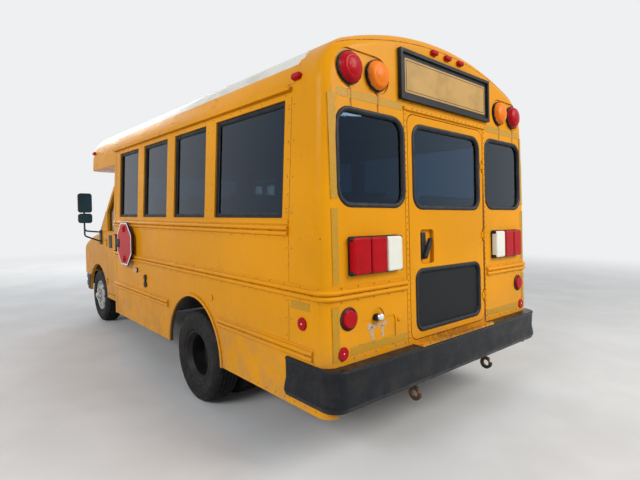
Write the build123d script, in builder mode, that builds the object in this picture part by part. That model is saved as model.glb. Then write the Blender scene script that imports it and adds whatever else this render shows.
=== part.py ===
"""Short school bus on a cutaway van chassis, as an assembly of separate parts.

Millimetres.  +Z is up, +Y is to the rear, +X is the driver's (left) side.
The origin is on the ground, under the middle of the whole bus.
"""
from build123d import *
from math import atan, atan2, cos, hypot, pi, radians, sin
import os

os.makedirs("parts", exist_ok=True)

# Overall layout
wheelbase = 3530
front_overhang = 880
rear_overhang = 1590
bumper_reach = 120
half_width = 1205
tyre_radius = 372

rear_y = (front_overhang + wheelbase + rear_overhang + bumper_reach) / 2 - bumper_reach
rear_axle_y = rear_y - rear_overhang
front_axle_y = rear_axle_y - wheelbase
nose_y = front_axle_y - front_overhang
axle_z = tyre_radius

# Body shell
wall = 40
skirt_wall = 24
skirt_z = 405
belt_z = 1483
drip_z = 2240
roof_z = 2715
tumble = 0.039
cove_r = 340
rear_lean = 2.35
lean_ref_z = 1430
rear_corner_r = 80
cab_back = 1520
seam_back = 302
floor_z = 740
floor_thick = 55

front_y = front_axle_y + cab_back
seam_y = rear_y - seam_back
shoulder_x = half_width - tumble * (drip_z - belt_z)
tilt = atan(tumble)

# Side windows
window_low_z = 1505
window_high_z = 2200
window_front_gap = 182
window_back_gap = 367
window_post = 155
last_window_length = 846
window_corner_r = 10
sash_recess = 12
sash_width = 24
sash_depth = 26
window_count = 4
window_first_y = front_y + window_front_gap
window_pitch = (rear_y - window_back_gap - last_window_length - window_first_y) / (window_count - 1)
window_length = window_pitch - window_post

# Wheel arches and wheels
arch_r = 462
wheelhouse_depth = 520
rim_r = 206
tyre_width = 223
front_track = 1748
rear_track = 1896
dual_spacing = 268
rim_width = 190
hub_hole_r = 60
spindle_r = 30
rear_spindle_r = 40
hub_length = 90
kingpin_r = 14
arm_rise = 118
arm_thick = 28
front_wheel_offset = 100
rear_wheel_offset = 126
kingpin_x = 820

# Rub rails: lower edge, upper edge; the flange is its width beyond them and its height
rail_proud = 20
rail_flange = (13, 3)
belt_rail = (1398, 1464)
seat_rail = (1046, 1112)
floor_rail = (702, 766)
belt_ledge = (1470, 1496)

# Rear door and rear windows
door_half = 462
door_low_z = 712
door_high_z = 2170
door_gap = 6
door_corner_r = 60
glass_thick = 6

# Cab
cab_half = 1000
cab_skin = 40
cab_top_z = 2100
door_front_y = front_axle_y + 452
door_back_y = front_y - 40
rocker_z = 470
cowl_z = 1262
bumper_top_z = 640
firewall_y = front_axle_y + 250

# Chassis frame rails and the pads under them for a jack
rail_half = 432
frame_low_z = 520
frame_high_z = 640
jack_y = front_axle_y + 1280
jack_pad = (64, 120, 10)

# Clearance between pieces on different bodies
part_gap = 6
seat_gap = 0.3
fit_gap = 0.08

# Outside door hinges
hinge_r = 9
door_pin_r = 5
hinge_lug = 18
hinge_barrel = 44
hinge_clear = hinge_r + part_gap
barrel_half = hinge_barrel / 2
lug_end = barrel_half + 1 + hinge_lug


def outline_points(inset):
    """Centres, radii and angles of the roof arcs, drawn inward by inset."""
    cove_x = shoulder_x - cove_r * cos(tilt)
    cove_z = drip_z - cove_r * sin(tilt)
    rise = roof_z - cove_z
    crown_r = (rise ** 2 + cove_x ** 2 - cove_r ** 2) / (2 * (rise - cove_r))
    crown_z = roof_z - crown_r
    turn = atan2(cove_z - crown_z, cove_x)
    cove = cove_r - inset
    crown = crown_r - inset

    def on_cove(angle):
        return (cove_x + cove * cos(angle), cove_z + cove * sin(angle))

    def on_crown(angle):
        return (crown * cos(angle), crown_z + crown * sin(angle))

    return on_cove, on_crown, turn


def skin_x(z):
    """Half width of the body skin at a height, upright below the belt and leaning in above."""
    return half_width - tumble * max(0, z - belt_z)


def side_plane(side, inset):
    """Plane of the leaning upper side, seen from outside; local X is along the bus, Y up the side."""
    return Plane(
        origin=(side * half_width, 0, belt_z),
        x_dir=(0, side, 0),
        z_dir=(side * cos(tilt), 0, sin(tilt)),
    ).offset(-inset)


def on_side(z):
    """Height along the leaning side for a height above the ground."""
    return (z - belt_z) / cos(tilt)


def body_outline(inset, low_z):
    """Closed cross-section of the body, across (x) and up (z)."""
    on_cove, on_crown, turn = outline_points(inset)
    points = [(0, low_z), (skin_x(low_z) - inset, low_z)]
    if low_z < belt_z:
        points.append((half_width - inset, belt_z))
    with BuildSketch(mode=Mode.PRIVATE) as outline:
        with BuildLine():
            Polyline(*points, on_cove(tilt))
            ThreePointArc(on_cove(tilt), on_cove((tilt + turn) / 2), on_cove(turn))
            ThreePointArc(on_crown(turn), on_crown((turn + pi / 2) / 2), on_crown(pi / 2))
            Line(on_crown(pi / 2), (0, low_z))
        make_face()
        mirror(about=Plane.YZ)
    return outline.sketch


def rear_plane(inset=0):
    """Plane of the rear wall, leaning forward going up, facing the inside."""
    lean = radians(rear_lean)
    skin = Plane(origin=(0, rear_y, lean_ref_z), x_dir=(1, 0, 0), z_dir=(0, -cos(lean), -sin(lean)))
    return skin.offset(inset)


def rear_face_y(z):
    return rear_y - (z - lean_ref_z) * sin(radians(rear_lean)) / cos(radians(rear_lean))


def on_rear(z):
    """Height along the leaning rear plane for a height above the ground."""
    return (z - lean_ref_z) / cos(radians(rear_lean))


def rear_block(inset, start_y, low_z):
    """Solid body end from start_y back to the leaning rear face, corners rounded."""
    with BuildPart(mode=Mode.PRIVATE) as block:
        with BuildSketch(Plane.XZ.offset(-start_y)):
            add(body_outline(inset, low_z))
        extrude(amount=-(rear_y + 200 - start_y))
        split(bisect_by=rear_plane(inset), keep=Keep.TOP)
        rear_face = block.faces().sort_by(Axis.Y)[-1]
        rim = rear_face.edges().sort_by(Axis.Z)[1:]
        fillet(rim, rear_corner_r - inset)
    return block.part


# Roof: centre stretch between the front cap and the rear cap
with BuildPart() as roof:
    with BuildSketch(Plane.XZ.offset(-front_y)):
        add(body_outline(0, skirt_z))
        add(body_outline(wall, skirt_z - 10), mode=Mode.SUBTRACT)
        with Locations((0, (skirt_z + drip_z) / 2)):
            Rectangle(2 * half_width + 20, drip_z - skirt_z, mode=Mode.SUBTRACT)
    extrude(amount=-(seam_y - front_y))
    # Drip rails, one over each row of windows
    drip_reach = 26
    drip_depth = 34
    with BuildSketch(Plane.XZ.offset(-front_y)):
        with BuildLine():
            Polyline(
                (shoulder_x - 4, drip_z + 4),
                (shoulder_x + drip_reach, drip_z + 4),
                (shoulder_x + drip_reach, drip_z + drip_depth),
                (shoulder_x + drip_reach - 6, drip_z + drip_depth),
                (shoulder_x + drip_reach - 8, drip_z + 12),
                (shoulder_x - 4, drip_z + 14),
                close=True,
            )
        make_face()
        mirror(about=Plane.YZ)
    extrude(amount=-(seam_y - front_y))
roof.part.label = "roof"
export_step(roof.part, "parts/roof.step")


def rail_profile(side, rail, ridges=2):
    """Outline of a pressed rub rail on one side: a thin flange with round ridges on it."""
    low, high = rail
    step = (high - low) / ridges
    with BuildSketch(mode=Mode.PRIVATE) as outline:
        with Locations((side * half_width, (low + high) / 2)):
            Rectangle(2 * rail_flange[1], high - low + 2 * rail_flange[0])
        for ridge in range(ridges):
            with Locations((side * half_width, low + (ridge + 0.5) * step)):
                Ellipse(rail_proud, 0.48 * step)
    return outline.sketch


def window_spans():
    """Front and rear edges of each side window."""
    spans = []
    for number in range(window_count):
        start = window_first_y + number * window_pitch
        length = window_length if number < window_count - 1 else last_window_length
        spans.append((start, start + length))
    return spans


# Entry bay on the right side, ahead of the first window
entry_front_y = front_y - 880
entry_low_z = 430
entry_high_z = 2060
entry_post = 70
entry_door_front = entry_front_y + entry_post
entry_door_back = front_y - 130
leaf_gap = 8
leaf_thick = 36
pivot_r = 8
pivot_depth = 16
pivot_x = -(half_width - leaf_thick / 2)
pivot_ys = (entry_door_front + part_gap + leaf_thick / 2, entry_door_back - part_gap - leaf_thick / 2)


def build_side(name, left):
    side = 1 if left else -1
    with BuildPart() as panel:
        with BuildSketch(Plane.XZ.offset(-front_y)):
            with BuildLine():
                Polyline(
                    (side * half_width, skirt_z),
                    (side * half_width, belt_z),
                    (side * shoulder_x, drip_z),
                    (side * (shoulder_x - wall), drip_z),
                    (side * (half_width - wall), belt_z),
                    (side * (half_width - wall), floor_z - floor_thick),
                    (side * (half_width - skirt_wall), floor_z - floor_thick),
                    (side * (half_width - skirt_wall), skirt_z),
                    close=True,
                )
            make_face()
        extrude(amount=-(seam_y - front_y))
        with BuildSketch(side_plane(side, wall + 20)):
            for low, high in window_spans():
                with Locations((side * (low + high) / 2, on_side((window_low_z + window_high_z) / 2))):
                    RectangleRounded(
                        high - low, on_side(window_high_z) - on_side(window_low_z), window_corner_r
                    )
        extrude(amount=wall + 60, mode=Mode.SUBTRACT)
        with BuildSketch(Plane.YZ.offset(side * (half_width - 150))):
            with Locations((rear_axle_y, skirt_z)):
                Circle(arch_r)
        extrude(amount=side * 300, mode=Mode.SUBTRACT)
        if not left:
            # Upright surround of the entry, with the bores for the pivots of its leaves
            with BuildSketch(Plane.YZ.offset(-half_width)):
                with Locations(((entry_front_y + front_y) / 2, (skirt_z + cab_top_z) / 2)):
                    Rectangle(front_y - entry_front_y, cab_top_z - skirt_z)
                with Locations(((entry_door_front + entry_door_back) / 2, (entry_low_z + entry_high_z) / 2)):
                    Rectangle(
                        entry_door_back - entry_door_front, entry_high_z - entry_low_z, mode=Mode.SUBTRACT
                    )
            extrude(amount=wall)
            for low, depth in ((entry_low_z - pivot_depth, 20), (entry_high_z - 2, 20)):
                with BuildSketch(Plane.XY.offset(low)):
                    with Locations(*[(pivot_x, y) for y in pivot_ys]):
                        Circle(pivot_r + fit_gap)
                extrude(amount=depth, mode=Mode.SUBTRACT)
        # Rub rails
        with BuildSketch(Plane.XZ.offset(-front_y)):
            add(rail_profile(side, belt_rail))
            add(rail_profile(side, seat_rail))
            with Locations((side * (half_width - 4), sum(belt_ledge) / 2)):
                Rectangle(24, belt_ledge[1] - belt_ledge[0])
        extrude(amount=-(seam_y - front_y))
        with BuildSketch(Plane.XZ.offset(-front_y)):
            add(rail_profile(side, floor_rail))
        extrude(amount=-(rear_axle_y - arch_r - 30 - front_y))
        with BuildSketch(Plane.XZ.offset(-(rear_axle_y + arch_r - 40))):
            add(rail_profile(side, floor_rail))
        extrude(amount=-(seam_y - rear_axle_y - arch_r + 40))
        # Raised lip round the wheel arch
        with BuildSketch(Plane.YZ.offset(side * (half_width - 4))):
            with Locations((rear_axle_y, skirt_z)):
                Circle(arch_r + 22)
                Circle(arch_r, mode=Mode.SUBTRACT)
            with Locations((rear_axle_y, skirt_z - 300)):
                Rectangle(1200, 600, mode=Mode.SUBTRACT)
        extrude(amount=side * 16)
    panel.part.label = name
    export_step(panel.part, "parts/" + name + ".step")
    return panel


side_left = build_side("side_wall_left", True)
side_right = build_side("side_wall_right", False)

# Rear bumper: lower edge, upper edge, length of its sides
bumper_low_z = 455
bumper_high_z = 687
bumper_side_back = 318
bumper_side_reach = 27
bumper_steel = 12
bumper_corner_r = 110

# Rear wall with its rounded corners and roof cap
quarter_window = (510, 1082, 1582, 2118)
lamp_z = 2351
red_lamp_x = 975
amber_lamp_x = 744
lamp_r = 92
tail_x = (590, 1020)
tail_z = (1182, 1398)
stop_lamp_x = 1030
stop_lamp_z = 940
reflector_x = 1080
reflector_z = 753


def rail_wrap(side, rail, end_x):
    """Rub rail from the seam round one rear corner to end_x on the rear face."""
    back_y = rear_face_y(sum(rail) / 2)
    with BuildPart(mode=Mode.PRIVATE) as wrap:
        with BuildLine(Plane.XY) as path:
            FilletPolyline(
                (side * half_width, seam_y, 0),
                (side * half_width, back_y, 0),
                (side * end_x, back_y, 0),
                radius=rear_corner_r,
            )
        with BuildSketch(Plane.XZ.offset(-seam_y)):
            add(rail_profile(side, rail))
        sweep(path=path.line)
    return wrap.part


rear_hinge = (-(door_half + part_gap / 2), -4)
rear_hinge_z = (900, 1370, 1900)


def rear_hinge_plane(z):
    """Plane across the rear door's hinge axis, at a height on the rear wall."""
    lean = radians(rear_lean)
    place = rear_plane(rear_hinge[1]).from_local_coords(Vector(rear_hinge[0], on_rear(z), 0))
    return Plane(origin=place, x_dir=(1, 0, 0), z_dir=(0, -sin(lean), cos(lean)))


def rear_hinge_cylinders(z, radius, spans):
    """Cylinders about the hinge axis; each span runs along it from low to high, about z."""
    with BuildPart(mode=Mode.PRIVATE) as cylinders:
        for low, high in spans:
            with BuildSketch(rear_hinge_plane(z).offset(low)):
                Circle(radius)
            extrude(amount=high - low)
    return cylinders.part


panel_low_z = 650
rail_end_x = 508
floor_rail_end = 222
lamp_recess = 10
lamp_recess_r = 112
plate_recess = 6
plate_x = 787
plate_lamp_z = 930
sill_step = (452, 24, 16)

with BuildPart() as rear_wall:
    add(rear_block(0, seam_y, skirt_z))
    add(rear_block(wall, seam_y - 10, skirt_z - 10), mode=Mode.SUBTRACT)
    # Quarter windows and the doorway
    with BuildSketch(rear_plane(-60)):
        left_x, right_x, low, high = quarter_window
        for side in (-1, 1):
            with Locations((side * (left_x + right_x) / 2, on_rear((low + high) / 2))):
                RectangleRounded(right_x - left_x, on_rear(high) - on_rear(low), 95)
        with Locations((0, on_rear((door_low_z + door_high_z) / 2))):
            RectangleRounded(
                2 * (door_half + door_gap),
                on_rear(door_high_z) - on_rear(door_low_z) + 2 * door_gap,
                door_corner_r + door_gap,
            )
    extrude(amount=160, mode=Mode.SUBTRACT)
    # The panel stops above the bumper beam
    with BuildSketch(Plane.XZ.offset(-(rear_y - wall - rear_corner_r))):
        with Locations((0, (skirt_z + panel_low_z) / 2)):
            Rectangle(2 * (half_width - rear_corner_r), panel_low_z - skirt_z + 20, mode=Mode.ADD)
    extrude(amount=-300, mode=Mode.SUBTRACT)
    # Recesses behind the warning lamps, and for the licence plate on the left
    with BuildSketch(rear_plane(lamp_recess)):
        for side in (-1, 1):
            with Locations((side * (red_lamp_x + amber_lamp_x) / 2, on_rear(lamp_z))):
                SlotCenterToCenter(red_lamp_x - amber_lamp_x, 2 * lamp_recess_r)
    extrude(amount=-60, mode=Mode.SUBTRACT)
    with BuildSketch(rear_plane(plate_recess)):
        with Locations((plate_x, on_rear(plate_lamp_z - 115))):
            RectangleRounded(330, 190, 30)
        with Locations((plate_x, on_rear(plate_lamp_z - 20))):
            Circle(62)
    extrude(amount=-60, mode=Mode.SUBTRACT)
    # Drip moulding over the door and the step along the sill
    with BuildSketch(rear_plane(2)):
        with Locations((0, on_rear(door_high_z + 32))):
            Rectangle(2 * door_half + 80, 22)
    extrude(amount=-16)
    with BuildSketch(Plane.XY.offset(bumper_high_z + seat_gap)):
        with Locations((0, rear_face_y(bumper_high_z) + bumper_reach - 48)):
            Rectangle(2 * sill_step[0], sill_step[1])
        with Locations((0, rear_face_y(bumper_high_z) + (bumper_reach - 40) / 2 - 4)):
            Rectangle(2 * sill_step[0], bumper_reach - 32, mode=Mode.ADD)
    extrude(amount=4)
    with BuildSketch(Plane.XY.offset(bumper_high_z + seat_gap)):
        with Locations((0, rear_face_y(bumper_high_z) + bumper_reach - 48)):
            Rectangle(2 * sill_step[0], sill_step[1])
    extrude(amount=sill_step[2])
    for side in (-1, 1):
        add(rail_wrap(side, seat_rail, rail_end_x))
        with BuildSketch(Plane.XZ.offset(-seam_y)):
            add(rail_profile(side, floor_rail))
        extrude(amount=-floor_rail_end)
    # Lugs and pins of the door hinges
    for z in rear_hinge_z:
        add(rear_hinge_cylinders(z, hinge_clear, [(-barrel_half - 1, barrel_half + 1)]), mode=Mode.SUBTRACT)
        add(rear_hinge_cylinders(z, hinge_r, [(-lug_end, -barrel_half - 1), (barrel_half + 1, lug_end)]))
        add(rear_hinge_cylinders(z, door_pin_r, [(-barrel_half - 2, barrel_half + 2)]))
rear_wall.part.label = "rear_wall"
export_step(rear_wall.part, "parts/rear_wall.step")

# Front cap over the cab
cap_reach = 1050
cap_y = front_y - cap_reach
cap_corner_r = 150
soffit_z = cab_top_z
soffit_thick = 30
headroom = 380


def cap_block(inset, back_y):
    with BuildPart(mode=Mode.PRIVATE) as block:
        with BuildSketch(Plane.XZ.offset(-back_y)):
            add(body_outline(inset, soffit_z))
        extrude(amount=back_y - cap_y - inset)
        front_face = block.faces().sort_by(Axis.Y)[0]
        fillet(front_face.edges().sort_by(Axis.Z)[1:], cap_corner_r - inset)
    return block.part


with BuildPart() as front_cap:
    add(cap_block(0, front_y))
    add(cap_block(wall, front_y + 10), mode=Mode.SUBTRACT)
    # Soffit over the cab, open above the driver and the entry
    with BuildSketch(Plane.XY.offset(soffit_z)):
        with Locations((0, (cap_y + front_y) / 2)):
            RectangleRounded(2 * (shoulder_x - 20), cap_reach - 30, cap_corner_r - 40)
        with Locations((0, front_y - 40 - headroom / 2)):
            Rectangle(2 * (cab_half - cab_skin - 30), headroom, mode=Mode.SUBTRACT)
    extrude(amount=soffit_thick)
front_cap.part.label = "front_cap"
export_step(front_cap.part, "parts/front_cap.step")

# Floor with wheel housings and the entry step well
step_inner_x = 640
step_z = 440
with BuildPart() as floor:
    with BuildSketch(Plane.XY.offset(floor_z - floor_thick)):
        inner_back = rear_face_y(floor_z) - wall - seat_gap
        with Locations((0, (front_y + inner_back) / 2)):
            RectangleRounded(
                2 * (half_width - wall - seat_gap), inner_back - front_y, rear_corner_r - wall + 4
            )
        with Locations((0, front_y + 50)):
            Rectangle(2 * (half_width - wall - seat_gap), 100)
        with Locations((0, (firewall_y + 60 + front_y) / 2)):
            Rectangle(2 * (cab_half - 118), front_y - firewall_y - 60)
        # Entry well
        with Locations((-(half_width + step_inner_x) / 2, (entry_door_front + entry_door_back) / 2)):
            Rectangle(
                half_width - step_inner_x, entry_door_back - entry_door_front, mode=Mode.SUBTRACT
            )
        for side in (-1, 1):
            with Locations((side * (half_width - wheelhouse_depth / 2), rear_axle_y)):
                Rectangle(wheelhouse_depth, 2 * (arch_r - 30), mode=Mode.SUBTRACT)
    extrude(amount=floor_thick)
    for side in (-1, 1):
        with BuildSketch(Plane.YZ.offset(side * (half_width - wheelhouse_depth - 20))):
            with Locations((rear_axle_y, skirt_z)):
                Circle(arch_r + 12)
            with Locations((rear_axle_y, floor_z - floor_thick - 400)):
                Rectangle(1200, 800, mode=Mode.SUBTRACT)
        extrude(amount=side * (wheelhouse_depth + 20 - wall - seat_gap))
        with BuildSketch(Plane.YZ.offset(side * (half_width - wheelhouse_depth))):
            with Locations((rear_axle_y, skirt_z)):
                Circle(arch_r - 3)
        extrude(amount=side * (wheelhouse_depth + 10), mode=Mode.SUBTRACT)
    # Cross sills that rest on the frame
    with BuildSketch(Plane.XY.offset(frame_high_z)):
        for y in (front_y + 200, rear_axle_y - 620, rear_axle_y + 620, rear_y - 320):
            with Locations((0, y)):
                Rectangle(2 * (half_width - wall - 40), 60)
    extrude(amount=floor_z - floor_thick - frame_high_z)
    # Lower step and its risers
    with BuildSketch(Plane.XY.offset(step_z - 30)):
        with Locations((-(half_width + step_inner_x) / 2 + 20, (entry_door_front + entry_door_back) / 2)):
            Rectangle(half_width - step_inner_x - 60, entry_door_back - entry_door_front - 2)
    extrude(amount=30)
    with BuildSketch(Plane.XY.offset(step_z)):
        with Locations((-step_inner_x + 10, (entry_door_front + entry_door_back) / 2)):
            Rectangle(20, entry_door_back - entry_door_front)
    extrude(amount=floor_z - step_z)
    with BuildSketch(Plane.XY.offset(step_z)):
        for y in (entry_door_front + 10, entry_door_back - 10):
            with Locations((-(half_width + step_inner_x) / 2 + 20, y)):
                Rectangle(half_width - step_inner_x - 60, 20)
    extrude(amount=floor_z - floor_thick - step_z)
floor.part.label = "floor"
export_step(floor.part, "parts/floor.step")

# Frames set into the side windows
window_middle = on_side((window_low_z + window_high_z) / 2)
window_height = on_side(window_high_z) - on_side(window_low_z)
with BuildPart() as window_frames:
    for side in (-1, 1):
        with BuildSketch(side_plane(side, sash_recess + sash_depth)):
            for low, high in window_spans():
                with Locations((side * (low + high) / 2, window_middle)):
                    RectangleRounded(
                        high - low - 2 * seat_gap, window_height - 2 * seat_gap, window_corner_r
                    )
                    Rectangle(
                        high - low - 2 * sash_width, window_height - 2 * sash_width, mode=Mode.SUBTRACT
                    )
        extrude(amount=sash_depth)
window_frames.part.label = "window_frames"
export_step(window_frames.part, "parts/window_frames.step")

# Fixed glass: side panes, rear quarter panes, windshield
cowl_y = front_axle_y + 70
shield_low = (cowl_y + 46, 1308)
shield_high = (cowl_y + 944, soffit_z - 8)
shield_low_half = 861.3
shield_high_half = 804
with BuildPart() as fixed_glass:
    for side in (-1, 1):
        with BuildSketch(side_plane(side, sash_recess + sash_depth - 6)):
            for low, high in window_spans():
                with Locations((side * (low + high) / 2, window_middle)):
                    Rectangle(
                        high - low - 2 * (sash_width + seat_gap),
                        window_height - 2 * (sash_width + seat_gap),
                    )
        extrude(amount=glass_thick)
    with BuildSketch(rear_plane(14)):
        left_x, right_x, low, high = quarter_window
        for side in (-1, 1):
            with Locations((side * (left_x + right_x) / 2, on_rear((low + high) / 2))):
                RectangleRounded(
                    right_x - left_x - 2 * seat_gap, on_rear(high) - on_rear(low) - 2 * seat_gap, 95
                )
    extrude(amount=glass_thick)
    rise = (shield_high[0] - shield_low[0], shield_high[1] - shield_low[1])
    run = hypot(*rise)
    shield_plane = Plane(
        origin=(0, shield_low[0], shield_low[1]),
        x_dir=(1, 0, 0),
        z_dir=(0, -rise[1] / run, rise[0] / run),
    )
    with BuildSketch(shield_plane):
        with BuildLine():
            Polyline(
                (-shield_low_half, 0),
                (shield_low_half, 0),
                (shield_high_half, run),
                (-shield_high_half, run),
                close=True,
            )
        make_face()
    extrude(amount=glass_thick)
fixed_glass.part.label = "fixed_glass"
export_step(fixed_glass.part, "parts/fixed_glass.step")

# Bumpers
front_bumper_half = 985
front_bumper_r = 210
front_bumper_depth = 26
front_bumper_z = (430, 630)
# Outline of its face: how far it stands back, height
front_face_shape = [
    (14, front_bumper_z[1]),
    (2, front_bumper_z[1] - 14),
    (0, front_bumper_z[1] - 70),
    (8, front_bumper_z[1] - 84),
    (8, front_bumper_z[1] - 116),
    (0, front_bumper_z[1] - 130),
    (2, front_bumper_z[0] + 14),
    (14, front_bumper_z[0]),
]
with BuildPart() as bumpers:
    bumper_y = rear_y + bumper_reach
    start = rear_y - bumper_side_back
    outer_half = half_width + bumper_side_reach
    # Outline of the face: how far it stands back from the outermost line, height
    face_shape = [
        (14, bumper_high_z),
        (6, bumper_high_z - 8),
        (12, bumper_high_z - 22),
        (14, bumper_low_z + 108),
        (0, bumper_low_z + 48),
        (0, bumper_low_z + 30),
        (14, bumper_low_z),
    ]
    with BuildLine(Plane.XY) as bumper_line:
        FilletPolyline(
            (outer_half, start, 0),
            (outer_half, bumper_y, 0),
            (-outer_half, bumper_y, 0),
            (-outer_half, start, 0),
            radius=bumper_corner_r,
        )
    with BuildSketch(Plane.XZ.offset(-start)):
        with BuildLine():
            outer = [(outer_half - back, z) for back, z in face_shape]
            inner = [(x - bumper_steel, z) for x, z in reversed(outer)]
            Polyline(*outer, *inner, close=True)
        make_face()
    sweep(path=bumper_line.line)
    # Ledge between the face and the body
    with BuildSketch(Plane.XY.offset(bumper_high_z - bumper_steel)):
        with BuildLine():
            FilletPolyline(
                (outer_half - 16, start),
                (outer_half - 16, bumper_y - 16),
                (-outer_half + 16, bumper_y - 16),
                (-outer_half + 16, start),
                radius=bumper_corner_r - 16,
            )
            Line((-outer_half + 16, start), (outer_half - 16, start))
        make_face()
        with BuildLine():
            FilletPolyline(
                (half_width + seat_gap, start - 1),
                (half_width + seat_gap, rear_face_y(bumper_high_z) + 1),
                (-half_width - seat_gap, rear_face_y(bumper_high_z) + 1),
                (-half_width - seat_gap, start - 1),
                radius=rear_corner_r,
            )
            Line((-half_width - seat_gap, start - 1), (half_width + seat_gap, start - 1))
        make_face(mode=Mode.SUBTRACT)
    extrude(amount=bumper_steel)
    # Front bumper
    with BuildLine(Plane.XY) as front_line:
        FilletPolyline(
            (front_bumper_half, nose_y + 330, 0),
            (front_bumper_half, nose_y, 0),
            (-front_bumper_half, nose_y, 0),
            (-front_bumper_half, nose_y + 330, 0),
            radius=front_bumper_r,
        )
    with BuildSketch(Plane.XZ.offset(-(nose_y + 330))):
        with BuildLine():
            outer = [(front_bumper_half - back, z) for back, z in front_face_shape]
            inner_x = front_bumper_half - front_bumper_depth
            Polyline(*outer, (inner_x, front_bumper_z[0]), (inner_x, front_bumper_z[1]), close=True)
        make_face()
    sweep(path=front_line.line)
bumpers.part.label = "bumpers"
export_step(bumpers.part, "parts/bumpers.step")


def on_rear_locations(points):
    return Locations(*[(x, on_rear(z)) for x, z in points])


def lenses(plane, places, outward, thick, round_r, radius=None, size=None):
    """Lenses on a plane at the places, standing thick along the outward side, outer edges rounded."""
    with BuildPart(mode=Mode.PRIVATE) as group:
        with BuildSketch(plane):
            with Locations(*places):
                if radius:
                    Circle(radius)
                else:
                    RectangleRounded(size[0], size[1], size[2])
        extrude(amount=outward * thick)
        tops = group.faces().filter_by(
            lambda face: abs(plane.to_local_coords(face.center()).Z - outward * thick) < 0.01
        )
        fillet(tops.edges(), round_r)
    return group.part


def rear_places(points):
    """Places on the rear plane from pairs of x and height above the ground."""
    return [(x, on_rear(z)) for x, z in points]


# Nose of the cab, rounded at the front, over the hood and along the shoulders
nose_front_y = nose_y + 110
nose_low_z = bumper_top_z + 6
nose_back_y = cowl_y + 50
nose_r = 180
shoulder_r = 120
hood_points = ((nose_front_y + 70, 1130), (nose_front_y + 350, 1218), (cowl_y, 1300))


def circle_through(a, b, c):
    """Centre and radius of the circle through three points."""
    turn = 2 * (a[0] * (b[1] - c[1]) + b[0] * (c[1] - a[1]) + c[0] * (a[1] - b[1]))
    squares = [point[0] ** 2 + point[1] ** 2 for point in (a, b, c)]
    x = (squares[0] * (b[1] - c[1]) + squares[1] * (c[1] - a[1]) + squares[2] * (a[1] - b[1])) / turn
    y = (squares[0] * (c[0] - b[0]) + squares[1] * (a[0] - c[0]) + squares[2] * (b[0] - a[0])) / turn
    return (x, y), hypot(a[0] - x, a[1] - y)


hood_centre, hood_r = circle_through(*hood_points)


def hood_line(y, inset=0):
    """Height of the top of the nose at y, drawn inward by inset."""
    return hood_centre[1] + ((hood_r - inset) ** 2 - (y - hood_centre[0]) ** 2) ** 0.5


def nose_block(inset, low_z, back_y):
    """Solid nose drawn inward by inset, from low_z up and from the front to back_y."""
    front = nose_front_y + inset
    half = cab_half - inset
    middle = (front + back_y) / 2
    with BuildSketch(mode=Mode.PRIVATE) as outline:
        with BuildLine():
            Polyline(
                (back_y, hood_line(back_y, inset)),
                (back_y, low_z),
                (front, low_z),
                (front, hood_line(front, inset)),
            )
            ThreePointArc(
                (front, hood_line(front, inset)),
                (middle, hood_line(middle, inset)),
                (back_y, hood_line(back_y, inset)),
            )
        make_face()
        brow = outline.vertices().sort_by_distance((front, hood_line(front, inset), 0))[0]
        fillet(brow, nose_r - inset)
    block = extrude(Plane.YZ.offset(-half) * outline.sketch, amount=2 * half)
    shoulders = block.edges().filter_by(
        lambda edge: abs(abs(edge.center().X) - half) < 0.1
        and edge.center().Y < back_y - 1
        and edge.center().Z > low_z + 1
    )
    return fillet(shoulders, shoulder_r - inset)


def span_box(low, high):
    """Box between two corners."""
    size = [high[i] - low[i] for i in range(3)]
    middle = [(high[i] + low[i]) / 2 for i in range(3)]
    return Pos(*middle) * Box(*size)


def nose_skin(thick, low, high):
    """The part of the nose surface, thick inward, that lies between two corners."""
    skin = nose_block(0, nose_low_z, nose_back_y) - nose_block(thick, nose_low_z - 10, nose_back_y + 10)
    return skin & span_box(low, high)


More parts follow.
